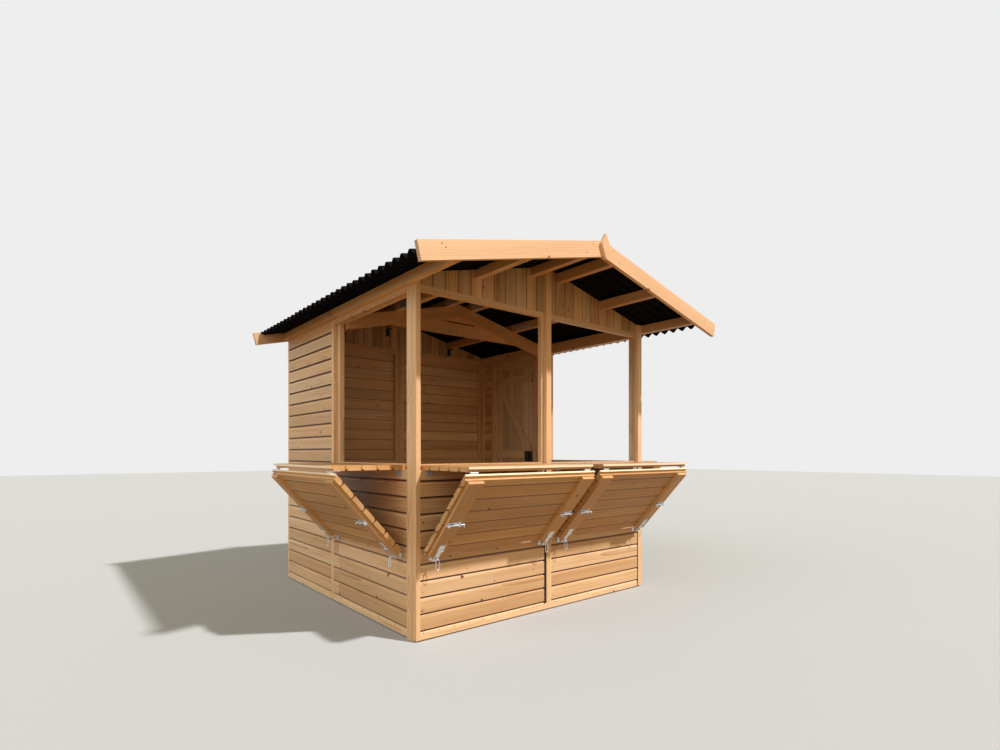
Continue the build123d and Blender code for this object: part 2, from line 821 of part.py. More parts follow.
# Hinges of the counters: two on the sill and two at the outer edge of each
knuckle_x = (FLAP_KNUCKLE * (1 + math.cos(flap_angle)) - FLAP_GAP) / math.sin(flap_angle)
knuckle_y = BOARD + FLAP_KNUCKLE
with BuildPart() as flap_hinges:
    for frame, panel, bay in hatches.values():
        for start in (bay[0] + HINGE_INSET, bay[1] - HINGE_INSET - HINGE_WIDTH):
            with BuildSketch(flap_plane(frame, start)):
                with Locations((knuckle_x, BOARD)):
                    Rectangle(LEAF_LENGTH, LEAF, align=Align.MIN)
                with Locations((knuckle_x, knuckle_y)):
                    Circle(FLAP_KNUCKLE)
                with Locations(Location((knuckle_x, knuckle_y, 0), (0, 0, FLAP_ANGLE))):
                    with Locations((0, FLAP_KNUCKLE)):
                        Rectangle(LEAF_LENGTH, LEAF, align=(Align.MIN, Align.MAX))
            extrude(amount=HINGE_WIDTH)
save(flap_hinges, "flap_hinges")

with BuildPart() as sill_hinges:
    for frame, panel, bay in hatches.values():
        for start in (bay[0] + HINGE_INSET, bay[1] - HINGE_INSET - HINGE_WIDTH):
            with BuildSketch(section_plane(frame.wall, start, -frame.face, counter_bottom)):
                Rectangle(LEAF_LENGTH, LEAF, align=(Align.MAX, Align.MIN))
                Rectangle(LEAF, LEAF_LENGTH, align=(Align.MAX, Align.MIN))
                with Locations((-SILL_KNUCKLE, SILL_KNUCKLE)):
                    Circle(SILL_KNUCKLE)
            extrude(amount=HINGE_WIDTH)
save(sill_hinges, "sill_hinges")

# Barrel bolts across the battens, drawn back, with their knobs on the inner ends
bolt_plate_length, bolt_plate_width = BOLT_PLATE
bolt_height = -BATTEN_THICKNESS - LEAF - BOLT_LIFT - BOLT_RADIUS
knob_radius, knob_height = BOLT_KNOB
with BuildPart() as flap_bolts:
    for frame, panel, bay in hatches.values():
        start, length = flap_run(panel)
        with Locations(flap_plane(frame, start)):
            for edge, inner in ((BATTEN_INSET, 1), (length - BATTEN_INSET, -1)):
                plate_end = edge + inner * bolt_plate_length
                bar(
                    (BOLT_DOWN - bolt_plate_width / 2, BOLT_DOWN + bolt_plate_width / 2),
                    (-BATTEN_THICKNESS - LEAF, -BATTEN_THICKNESS),
                    sorted((edge, plate_end)),
                )
                rod_end = edge + inner * BOLT_LENGTH
                with Locations((BOLT_DOWN, bolt_height, min(edge, rod_end))):
                    Cylinder(BOLT_RADIUS, BOLT_LENGTH, align=centre_bottom)
                for guide in (edge + inner * bolt_plate_width / 2, plate_end):
                    bar(
                        (BOLT_DOWN - 2 * BOLT_RADIUS, BOLT_DOWN + 2 * BOLT_RADIUS),
                        (bolt_height - BOLT_RADIUS - LEAF, -BATTEN_THICKNESS),
                        sorted((guide, guide - inner * 2 * BOLT_RADIUS)),
                    )
                with Locations((BOLT_DOWN, bolt_height, rod_end - inner * 2 * BOLT_RADIUS)):
                    Cylinder(knob_radius, knob_height, rotation=(90, 0, 0), align=centre_bottom)
save(flap_bolts, "flap_bolts")

# Hasps that hold the feet of the flaps to staples on the wall
hasp_back = -BATTEN_THICKNESS
slot_length, slot_width = HASP_SLOT_SIZE
with BuildPart() as flap_hasps:
    for frame, panel, bay in hatches.values():
        start, length = flap_run(panel)
        with Locations(flap_plane(frame, start)):
            for edge in batten_edges(length):
                middle = edge + BATTEN_WIDTH / 2
                width_span = (middle - HASP_WIDTH / 2, middle + HASP_WIDTH / 2)
                strap_span = (middle - HASP_WIDTH * 0.4, middle + HASP_WIDTH * 0.4)
                bar((HASP_START, HASP_HINGE), (hasp_back - LEAF, hasp_back), width_span)
                bar((HASP_HINGE, HASP_END), (hasp_back - LEAF, hasp_back), strap_span)
                with Locations((HASP_HINGE, hasp_back - SILL_KNUCKLE, width_span[0])):
                    Cylinder(SILL_KNUCKLE, HASP_WIDTH, align=centre_bottom)
                bar(
                    (HASP_SLOT - slot_length / 2, HASP_SLOT + slot_length / 2),
                    (hasp_back - LEAF, hasp_back),
                    (middle - slot_width / 2, middle + slot_width / 2),
                    mode=Mode.SUBTRACT,
                )
save(flap_hasps, "flap_hasps")

staple_width, staple_height = STAPLE_PLATE
tab_thickness, tab_height = STAPLE_TAB
with BuildPart() as hasp_staples:
    for frame, panel, bay in hatches.values():
        start, length = flap_run(panel)
        slot_point = Vector(HASP_SLOT, hasp_back - LEAF / 2, 0)
        staple_level = flap_plane(frame, start).from_local_coords(slot_point).Z
        for edge in batten_edges(length):
            middle = start + edge + BATTEN_WIDTH / 2
            plate_plane = section_plane(
                frame.wall, middle - staple_width / 2, -frame.face, staple_level
            )
            with BuildSketch(plate_plane):
                Rectangle(staple_height, LEAF, align=(Align.CENTER, Align.MIN))
            extrude(amount=staple_width)
            tab_plane = section_plane(
                frame.wall, middle - tab_thickness / 2, -frame.face, staple_level
            )
            with BuildSketch(tab_plane):
                Rectangle(
                    tab_height, STAPLE_REACH - tab_height / 2, align=(Align.CENTER, Align.MIN)
                )
                with Locations((0, STAPLE_REACH - tab_height / 2)):
                    Circle(tab_height / 2)
                    Circle(STAPLE_EYE, mode=Mode.SUBTRACT)
            extrude(amount=tab_thickness)
save(hasp_staples, "hasp_staples")

# Door in the right wall: upright V-jointed boards on three ledges and a brace
leaf_start = door_start + DOOR_GAP
leaf_end = door_end - DOOR_GAP
with BuildPart() as door_leaf:
    leaf_plane = Plane(
        (half_width - DOOR_THICKNESS, leaf_end, DOOR_BOTTOM), x_dir=(0, -1, 0), z_dir=(0, 0, 1)
    )
    leaf = v_jointed(leaf_plane, leaf_end - leaf_start, DOOR_THICKNESS, DOOR_BOARDS, True)
    extrude(leaf, amount=door_top - DOOR_BOTTOM)
save(door_leaf, "door_leaf")

ledge_outer = -half_width + DOOR_THICKNESS
ledge_inner = ledge_outer + LEDGE_THICKNESS
ledge_start = leaf_start + LEDGE_INSET
ledge_end = leaf_end - LEDGE_INSET
brace_low = ledge_heights[1] + LEDGE_WIDTH
brace_high = ledge_heights[2]
brace_plane = Plane((-ledge_outer, 0, 0), x_dir=(0, 1, 0), z_dir=(1, 0, 0))
with BuildPart() as door_ledges:
    with Locations(right_wall):
        for height in ledge_heights:
            ledge_levels = (height, height + LEDGE_WIDTH)
            bar((ledge_start, ledge_end), (ledge_outer, ledge_inner), ledge_levels)
    with BuildSketch(brace_plane):
        with BuildLine():
            Polyline(
                (ledge_start, brace_low),
                (ledge_start + BRACE_FOOT, brace_low),
                (ledge_end, brace_high),
                (ledge_end - BRACE_FOOT, brace_high),
                close=True,
            )
        make_face()
    extrude(amount=-LEDGE_THICKNESS)
save(door_ledges, "door_ledges")

# Door hinges: a strap with one knuckle on the door, a plate with two knuckles on the wall
hinge_run = door_end - DOOR_GAP / 2
hinge_out = -half_width - HINGE_STAND_OFF
plate_span = (-half_width - DOOR_HINGE_LEAF, -half_width)
knuckle_third = HINGE_PLATE_HEIGHT / 3


def barrel(low, high, radius, mode=Mode.ADD):
    """A round barrel on the hinge line."""
    with Locations((hinge_run, hinge_out, low)):
        Cylinder(radius, high - low, align=centre_bottom, mode=mode)


with BuildPart() as door_straps:
    for height in door_hinge_heights:
        low = height + knuckle_third + PIN_CLEARANCE
        high = height + 2 * knuckle_third - PIN_CLEARANCE
        middle = (low + high) / 2
        with BuildSketch(Plane((half_width, 0, middle), x_dir=(0, 1, 0), z_dir=(1, 0, 0))):
            with BuildLine():
                strap_root = hinge_run - KNUCKLE_RADIUS - 1
                strap_tip = hinge_run - HINGE_STRAP_LENGTH
                Polyline(
                    (strap_root, -HINGE_STRAP_ROOT / 2),
                    (strap_root, HINGE_STRAP_ROOT / 2),
                    (strap_tip, HINGE_STRAP_TIP / 2),
                    (strap_tip, -HINGE_STRAP_TIP / 2),
                    close=True,
                )
            make_face()
        extrude(amount=DOOR_HINGE_LEAF)
        with Locations(right_wall):
            bar((hinge_run - 2 * KNUCKLE_RADIUS, hinge_run), plate_span, (low, high))
            barrel(low, high, KNUCKLE_RADIUS)
            barrel(low, high, PIN_RADIUS + PIN_CLEARANCE, mode=Mode.SUBTRACT)
save(door_straps, "door_straps")

with BuildPart() as door_hinge_plates:
    with Locations(right_wall):
        plate_end = hinge_run + HINGE_PLATE_WIDTH
        for height in door_hinge_heights:
            top = height + HINGE_PLATE_HEIGHT
            bar((hinge_run + KNUCKLE_RADIUS + 1, plate_end), plate_span, (height, top))
            for low in (height, height + 2 * knuckle_third):
                bar((hinge_run, plate_end), plate_span, (low, low + knuckle_third))
                barrel(low, low + knuckle_third, KNUCKLE_RADIUS)
            barrel(height, top, PIN_RADIUS)
save(door_hinge_plates, "door_hinge_plates")

# Rim latch inside the door and a round knob outside
latch_depth, latch_width, latch_height = LATCH_SIZE
with BuildPart() as door_latch:
    with Locations(right_wall):
        bar(
            (ledge_start, ledge_start + latch_width),
            (ledge_inner, ledge_inner + latch_depth),
            (LATCH_BOTTOM, LATCH_BOTTOM + latch_height),
        )
save(door_latch, "door_latch")

neck_radius, neck_length = KNOB_NECK
rose_radius, rose_thickness = KNOB_ROSE
knob_point = (half_width, ledge_start + latch_width / 2, LATCH_BOTTOM + latch_height / 2)
with BuildPart() as door_knob:
    with Locations(Plane(knob_point, x_dir=(0, 1, 0), z_dir=(1, 0, 0))):
        Cylinder(rose_radius, rose_thickness, align=centre_bottom)
        Cylinder(neck_radius, neck_length, align=centre_bottom)
        with Locations((0, 0, neck_length + KNOB_RADIUS / 2)):
            Sphere(KNOB_RADIUS)
save(door_knob, "door_knob")
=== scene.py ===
"""Timber market stall: its finishes, fixings and fittings, and the plain studio round it.

Metres. +X is to the right of the serving front, +Y to the rear and +Z up, with the origin on
the ground at the middle of the plan.
"""

import json
import logging
import math
from collections.abc import Iterable
from dataclasses import dataclass, field
from enum import Enum
from itertools import product

import bmesh
import bpy
from mathutils import Matrix

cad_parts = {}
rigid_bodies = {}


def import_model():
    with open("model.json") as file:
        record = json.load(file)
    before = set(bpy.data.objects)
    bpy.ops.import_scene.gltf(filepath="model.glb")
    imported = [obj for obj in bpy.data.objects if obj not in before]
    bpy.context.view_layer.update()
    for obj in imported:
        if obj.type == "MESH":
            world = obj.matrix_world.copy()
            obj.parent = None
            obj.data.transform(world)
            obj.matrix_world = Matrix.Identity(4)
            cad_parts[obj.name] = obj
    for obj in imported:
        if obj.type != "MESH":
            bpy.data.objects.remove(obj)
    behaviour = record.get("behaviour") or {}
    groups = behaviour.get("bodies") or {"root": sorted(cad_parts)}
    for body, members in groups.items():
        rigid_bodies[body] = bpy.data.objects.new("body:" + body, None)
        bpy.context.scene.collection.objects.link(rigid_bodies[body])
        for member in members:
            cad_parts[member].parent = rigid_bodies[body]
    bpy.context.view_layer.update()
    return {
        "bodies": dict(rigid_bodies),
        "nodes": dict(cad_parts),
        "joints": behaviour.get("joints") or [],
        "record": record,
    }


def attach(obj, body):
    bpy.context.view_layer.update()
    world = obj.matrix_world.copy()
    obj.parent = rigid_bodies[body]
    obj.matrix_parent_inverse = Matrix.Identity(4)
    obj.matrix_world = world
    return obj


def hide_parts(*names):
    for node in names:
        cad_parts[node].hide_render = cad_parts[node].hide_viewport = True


LOG = logging.getLogger("stall")

Pair = tuple[float, float]
Point = tuple[float, float, float]
Sockets = bpy.types.bpy_prop_collection
STALL = "stall"
DOOR = "door"

HALF_WIDTH = 1.030
HALF_DEPTH = 1.040
BOARD = 0.026
RIDGE_HEIGHT = 2.310
SLOPE = math.radians(13.55)
FLAP_EDGE = (0.418, 0.945)  # outer edge of an open flap: out from its wall, and up
FLAP_LEAN = math.radians(48.3)
SIDE_HATCHES_FROM = 1.0  # the hatches of the front reach less far from the middle
BRACE_LEVELS = (1.081, 1.735)  # of the door's brace, between the two upper ledges
BRACE_LEAN = math.radians(56)
GLOSS_IOR = 1.5  # of oiled wood and of bitumen


# Places on the stall


class Wall(Enum):
    """The four walls, and the way out from each."""

    FRONT = (0.0, -1.0)
    REAR = (0.0, 1.0)
    LEFT = (-1.0, 0.0)
    RIGHT = (1.0, 0.0)

    def at(self, run: float, out: float, up: float) -> Point:
        """A point by its place along the wall, its distance out from it and its height.

        Args:
            run: x on the front and rear walls, y on the side walls.
            out: The distance out from the outer face of the boards.
            up: The height.

        Returns:
            The point.
        """
        aside, forward = self.value
        if aside:
            return (aside * (HALF_WIDTH + out), run, up)
        return (run, forward * (HALF_DEPTH + out), up)

    def toward(self, out: float, up: float) -> Point:
        """A direction out from the wall and up."""
        aside, forward = self.value
        return (aside * out, forward * out, up)

    def on_flap(self, run: float, down: float, through: float) -> Point:
        """A point on the open flap of this wall.

        Args:
            run: The place along the wall.
            down: The distance down the flap from its upper edge.
            through: The distance through it from its inner face.

        Returns:
            The point.
        """
        reach, height = FLAP_EDGE
        out = reach - math.cos(FLAP_LEAN) * down + math.sin(FLAP_LEAN) * through
        up = height - math.sin(FLAP_LEAN) * down - math.cos(FLAP_LEAN) * through
        return self.at(run, out, up)


# Colours and nodes


def to_linear(colour: str) -> tuple[float, float, float, float]:
    """Turn an sRGB hex colour into linear values.

    Args:
        colour: Six hex digits after a hash sign.

    Returns:
        Red, green, blue and a full alpha.
    """
    channels = (int(colour[start : start + 2], 16) / 255 for start in (1, 3, 5))
    red, green, blue = (
        value / 12.92 if value <= 0.04045 else ((value + 0.055) / 1.055) ** 2.4
        for value in channels
    )
    return (red, green, blue, 1.0)


def add(
    tree: bpy.types.NodeTree,
    kind: str,
    inputs: dict[str | int, object] | None = None,
    **settings: object,
) -> bpy.types.Node:
    """Add a node with its settings, and link or set its inputs.

    Args:
        tree: The tree that gets the node.
        kind: Blender's name for the kind of node.
        inputs: Sockets to link, or values to set, by the name or number of the input.
        settings: The node's own properties.

    Returns:
        The new node.
    """
    node = tree.nodes.new(kind)
    for key, value in settings.items():
        setattr(node, key, value)
    for key, value in (inputs or {}).items():
        if isinstance(value, bpy.types.NodeSocket):
            tree.links.new(value, node.inputs[key])
        else:
            node.inputs[key].default_value = value
    return node


def new_material(name: str) -> tuple[bpy.types.Material, bpy.types.NodeTree]:
    """Start a material with an empty node tree.

    Args:
        name: The name of the material.

    Returns:
        The material and its tree.
    """
    material = bpy.data.materials.new(name)
    material.use_nodes = True
    material.node_tree.nodes.clear()
    return material, material.node_tree


def seen_directly(tree: bpy.types.NodeTree) -> bpy.types.NodeSocket:
    """Tell the eye and reflections, which count as 1, from the light that falls on things.

    Args:
        tree: The tree of the floor or the sky.

    Returns:
        A socket with the 1 or 0.
    """
    path = add(tree, "ShaderNodeLightPath").outputs
    return add(
        tree,
        "ShaderNodeMath",
        {0: path["Is Camera Ray"], 1: path["Is Glossy Ray"]},
        operation="MAXIMUM",
    ).outputs[0]


# Grain of the timber


class Lay(Enum):
    """How the boards of a piece lie, and so where their grain runs."""

    RUN_X = "level, from side to side"
    RUN_Y = "level, from front to rear"
    UP_X = "upright, side by side in the front or rear"
    UP_Y = "upright, side by side in a side wall"
    WALL_X = "level shiplap of the front or rear"
    WALL_Y = "level shiplap of a side wall"
    PITCH = "along the slope of the roof"
    COUNTER = "boards of the counters"
    FLAP = "boards of the flaps"
    BATTEN = "battens down the flaps"
    LEDGE = "ledges and brace of the door"
    DECK = "floor boards"


@dataclass(frozen=True)
class Timber:
    """Planed softwood with a thin clear oil: growth lines, a few knots and a low sheen."""

    name: str
    pale: str = "#E5C39D"
    warm: str = "#CFA273"
    line: str = "#8E5A2E"
    knot: str = "#7A4522"
    joint: str = "#4A1F08"
    line_spacing: float = 0.0085  # about 3 mm in real spruce, drawn coarser so that it shows
    line_share: float = 0.56
    tones: Pair = (0.86, 1.07)  # brightness of the darkest and palest boards
    cover: float = 0.5
    first_joint: float = -0.3
    joint_below: float = 0.004  # how far the dark of a joint reaches down or back from it; a wide reach adds painted shade under the lip
    joint_above: float = 0.004
    dark_joints: float = 0.0
    # Painted highlight: how much paler the cove under each joint is drawn, where it would catch
    # the sun.
    painted_cove_highlight: float = 0.0
    edge: Pair | None = None  # where across the boards a painted highlight lies along a sunlit edge
    # Colour and share of the painted highlight on that edge.
    edge_highlight_colour: str = "#FBE6C6"
    edge_highlight_share: float = 0.75
    end_shade: float = 0.72  # brightness of the sawn ends
    fibre_tones: Pair = (0.93, 1.07)
    seed: float = 0.0
    roughness: float = 0.5
    sheen_swing: float = 0.06  # the growth lines are smoother than the wood between them
    relief: float = 0.0008

    def build(self, lay: Lay) -> bpy.types.Material:
        """Make the material for boards that lie in one way.

        Args:
            lay: How the boards lie.

        Returns:
            The finished material.
        """
        material, tree = new_material(f"{self.name}_{lay.name.lower()}")
        coved_from = {
            Lay.WALL_X: HALF_DEPTH - BOARD / 2,
            Lay.WALL_Y: HALF_WIDTH - BOARD / 2,
        }
        place = self.place(tree, lay)
        growth = add(
            tree,
            "ShaderNodeGroup",
            {
                "Place": place,
                "Cover": self.cover,
                "First joint": self.first_joint,
                "Seed": self.seed,
                "Line spacing": self.line_spacing,
                "Joint below": self.joint_below,
                "Joint above": self.joint_above,
                "Coved from": coved_from.get(lay, -1.0),
            },
            node_tree=bpy.data.node_groups.get("spruce_growth") or Growth().group(),
        )
        tone, warmth, lines, fibres, knot, joint, cove = (
            growth.outputs[name]
            for name in ("Tone", "Warmth", "Lines", "Fibres", "Knot", "Joint", "Cove")
        )
        ground = add(
            tree,
            "ShaderNodeMix",
            {"Factor": warmth, 6: to_linear(self.pale), 7: to_linear(self.warm)},
            data_type="RGBA",
        ).outputs[2]
        line_share = add(
            tree, "ShaderNodeMath", {0: lines, 1: self.line_share}, operation="MULTIPLY"
        ).outputs[0]
        lined = add(
            tree,
            "ShaderNodeMix",
            {"Factor": line_share, 6: ground, 7: to_linear(self.line)},
            data_type="RGBA",
        ).outputs[2]
        darkest, palest = self.tones
        brightness = add(
            tree, "ShaderNodeMapRange", {"Value": tone, "To Min": darkest, "To Max": palest}
        ).outputs[0]
        dull, bright = self.fibre_tones
        fibre_light = add(
            tree,
            "ShaderNodeMapRange",
            {"Value": fibres, "From Min": 0.3, "From Max": 0.7, "To Min": dull, "To Max": bright},
        ).outputs[0]
        grained = add(
            tree, "ShaderNodeMath", {0: brightness, 1: fibre_light}, operation="MULTIPLY"
        ).outputs[0]
        # Painted highlight on the cove under each joint.
        coved = add(
            tree,
            "ShaderNodeMapRange",
            {"Value": cove, "To Min": 1.0, "To Max": 1.0 + self.painted_cove_highlight},
        ).outputs[0]
        faces = add(
            tree, "ShaderNodeMath", {0: grained, 1: coved}, operation="MULTIPLY"
        ).outputs[0]
        light = self.darker_ends(tree, lay, faces)
        toned = add(
            tree, "ShaderNodeHueSaturation", {"Value": light, "Color": lined}
        ).outputs[0]
        knotted = add(
            tree,
            "ShaderNodeMix",
            {"Factor": knot, 6: toned, 7: to_linear(self.knot)},
            data_type="RGBA",
        ).outputs[2]
        joint_share = add(
            tree, "ShaderNodeMath", {0: joint, 1: self.dark_joints}, operation="MULTIPLY"
        ).outputs[0]
        jointed = add(
            tree,
            "ShaderNodeMix",
            {"Factor": joint_share, 6: knotted, 7: to_linear(self.joint)},
            data_type="RGBA",
        ).outputs[2]
        # Painted highlight along a sunlit edge.
        colour = self.painted_edge_highlight(tree, place, jointed)
        sheen = add(
            tree,
            "ShaderNodeMapRange",
            {
                "Value": lines,
                "To Min": self.roughness + self.sheen_swing,
                "To Max": self.roughness - self.sheen_swing,
            },
        ).outputs[0]
        height = add(
            tree, "ShaderNodeMath", {0: lines, 1: 0.5, 2: fibres}, operation="MULTIPLY_ADD"
        ).outputs[0]
        relief = add(
            tree,
            "ShaderNodeBump",
            {"Height": height, "Strength": 0.35, "Distance": self.relief},
        ).outputs[0]
        surface = add(
            tree,
            "ShaderNodeBsdfPrincipled",
            {"Base Color": colour, "Roughness": sheen, "Normal": relief, "IOR": GLOSS_IOR},
        )
        add(tree, "ShaderNodeOutputMaterial", {"Surface": surface.outputs[0]})
        return material

    def painted_edge_highlight(
        self, tree: bpy.types.NodeTree, place: bpy.types.NodeSocket, colour: bpy.types.NodeSocket
    ) -> bpy.types.NodeSocket:
        """Leave the sawn outer edge paler than the oiled faces.

        Args:
            tree: The material's node tree.
            place: The place on the board.
            colour: The colour of the faces.

        Returns:
            The colour with the painted edge highlight.
        """
        if self.edge is None:
            return colour
        low, high = self.edge
        across = add(tree, "ShaderNodeSeparateXYZ", {0: place}).outputs[1]
        beyond = add(
            tree, "ShaderNodeMath", {0: across, 1: low}, operation="GREATER_THAN"
        ).outputs[0]
        before = add(
            tree, "ShaderNodeMath", {0: across, 1: high}, operation="LESS_THAN"
        ).outputs[0]
        inside = add(
            tree, "ShaderNodeMath", {0: beyond, 1: before}, operation="MULTIPLY"
        ).outputs[0]
        share = add(
            tree, "ShaderNodeMath", {0: inside, 1: self.edge_highlight_share}, operation="MULTIPLY"
        ).outputs[0]
        return add(
            tree,
            "ShaderNodeMix",
            {"Factor": share, 6: colour, 7: to_linear(self.edge_highlight_colour)},
            data_type="RGBA",
        ).outputs[2]

    def darker_ends(
        self, tree: bpy.types.NodeTree, lay: Lay, light: bpy.types.NodeSocket
    ) -> bpy.types.NodeSocket:
        """Darken the sawn ends, which drink more of the oil than the faces.

        Args:
            tree: The material's node tree.
            lay: How the boards lie.
            light: The brightness so far.

        Returns:
            The brightness with the ends darkened.
        """
        square = add(tree, "ShaderNodeTexCoord").outputs["Normal"]
        x, y, z = add(tree, "ShaderNodeSeparateXYZ", {0: square}).outputs
        lengthwise = {
            Lay.RUN_X: x,
            Lay.RUN_Y: y,
            Lay.UP_X: z,
            Lay.UP_Y: z,
            Lay.WALL_X: x,
            Lay.WALL_Y: y,
            Lay.PITCH: x,
            Lay.LEDGE: y,
            Lay.DECK: y,
        }
        if lay not in lengthwise:
            return light
        facing = add(
            tree, "ShaderNodeMath", {0: lengthwise[lay]}, operation="ABSOLUTE"
        ).outputs[0]
        shade = add(
            tree,
            "ShaderNodeMapRange",
            {
                "Value": facing,
                "From Min": 0.8,
                "From Max": 0.9,
                "To Min": 1.0,
                "To Max": self.end_shade,
            },
        ).outputs[0]
        return add(tree, "ShaderNodeMath", {0: light, 1: shade}, operation="MULTIPLY").outputs[0]

    def place(self, tree: bpy.types.NodeTree, lay: Lay) -> bpy.types.NodeSocket:
        """Turn the place on the stall into a place on a board.

        Args:
            tree: The material's node tree.
            lay: How the boards lie.

        Returns:
            A vector socket: along the grain, across the board and through it.
        """
        where = add(tree, "ShaderNodeTexCoord").outputs["Object"]
        x, y, z = add(tree, "ShaderNodeSeparateXYZ", {0: where}).outputs
        orders = {
            Lay.RUN_X: (x, z, y),
            Lay.RUN_Y: (y, z, x),
            Lay.UP_X: (z, x, y),
            Lay.UP_Y: (z, y, x),
            Lay.WALL_X: (x, z, y),
            Lay.WALL_Y: (y, z, x),
            Lay.DECK: (y, x, z),
        }
        if lay in orders:
            along, across, through = orders[lay]
            return add(
                tree, "ShaderNodeCombineXYZ", {0: along, 1: across, 2: through}
            ).outputs[0]
        if lay is Lay.LEDGE:
            return self.door_place(tree, y, z)
        aside = add(tree, "ShaderNodeMath", {0: x}, operation="ABSOLUTE").outputs[0]
        if lay is Lay.PITCH:
            drop = add(
                tree, "ShaderNodeMath", {0: RIDGE_HEIGHT, 1: z}, operation="SUBTRACT"
            ).outputs[0]
            flat = add(tree, "ShaderNodeCombineXYZ", {0: aside, 1: drop, 2: y}).outputs[0]
            return add(
                tree,
                "ShaderNodeVectorRotate",
                {"Vector": flat, "Angle": -SLOPE},
                rotation_type="Z_AXIS",
            ).outputs[0]
        return self.hatch_place(tree, lay, (x, y, z), aside)

    def door_place(
        self, tree: bpy.types.NodeTree, y: bpy.types.NodeSocket, z: bpy.types.NodeSocket
    ) -> bpy.types.NodeSocket:
        """Grain of the ledges, and of the brace between the two upper ones.

        Args:
            tree: The material's node tree.
            y: The place from front to rear.
            z: The height.

        Returns:
            A vector socket in the order of the board.
        """
        level = add(tree, "ShaderNodeCombineXYZ", {0: y, 1: z}).outputs[0]
        leaning = add(
            tree,
            "ShaderNodeVectorRotate",
            {"Vector": level, "Angle": -BRACE_LEAN},
            rotation_type="Z_AXIS",
        ).outputs[0]
        foot, head = BRACE_LEVELS
        above = add(tree, "ShaderNodeMath", {0: z, 1: foot}, operation="GREATER_THAN").outputs[0]
        below = add(tree, "ShaderNodeMath", {0: z, 1: head}, operation="LESS_THAN").outputs[0]
        brace = add(tree, "ShaderNodeMath", {0: above, 1: below}, operation="MULTIPLY").outputs[0]
        return add(
            tree,
            "ShaderNodeMix",
            {"Factor": brace, 4: level, 5: leaning},
            data_type="VECTOR",
        ).outputs[1]

    def hatch_place(
        self,
        tree: bpy.types.NodeTree,
        lay: Lay,
        place: tuple[bpy.types.NodeSocket, ...],
        aside: bpy.types.NodeSocket,
    ) -> bpy.types.NodeSocket:
        """Grain of the counters, flaps and battens, on the front and on the two sides.

        Args:
            tree: The material's node tree.
            lay: Which of the three it is.
            place: The sockets for x, y and z.
            aside: The distance from the middle of the stall to either side.

        Returns:
            A vector socket in the order of the board.
        """
        x, y, z = place
        on_side = add(
            tree, "ShaderNodeMath", {0: aside, 1: SIDE_HATCHES_FROM}, operation="GREATER_THAN"
        ).outputs[0]
        out_front = add(
            tree, "ShaderNodeMath", {0: y, 1: -1.0, 2: -HALF_DEPTH}, operation="MULTIPLY_ADD"
        ).outputs[0]
        out_side = add(
            tree, "ShaderNodeMath", {0: aside, 1: HALF_WIDTH}, operation="SUBTRACT"
        ).outputs[0]
        out = add(tree, "ShaderNodeMix", {"Factor": on_side, 2: out_front, 3: out_side}).outputs[0]
        run = add(tree, "ShaderNodeMix", {"Factor": on_side, 2: x, 3: y}).outputs[0]
        if lay is Lay.COUNTER:
            from_sill = add(tree, "ShaderNodeMath", {0: out, 1: BOARD}).outputs[0]
            return add(tree, "ShaderNodeCombineXYZ", {0: run, 1: from_sill, 2: z}).outputs[0]
        reach, edge_height = FLAP_EDGE
        inward = add(tree, "ShaderNodeMath", {0: reach, 1: out}, operation="SUBTRACT").outputs[0]
        drop = add(tree, "ShaderNodeMath", {0: edge_height, 1: z}, operation="SUBTRACT").outputs[0]
        section = add(tree, "ShaderNodeCombineXYZ", {0: inward, 1: drop, 2: run}).outputs[0]
        down_flap = add(
            tree,
            "ShaderNodeVectorRotate",
            {"Vector": section, "Angle": -FLAP_LEAN},
            rotation_type="Z_AXIS",
        ).outputs[0]
        down, through, run = add(tree, "ShaderNodeSeparateXYZ", {0: down_flap}).outputs
        order = (run, down, through) if lay is Lay.FLAP else (down, run, through)
        return add(tree, "ShaderNodeCombineXYZ", dict(enumerate(order))).outputs[0]


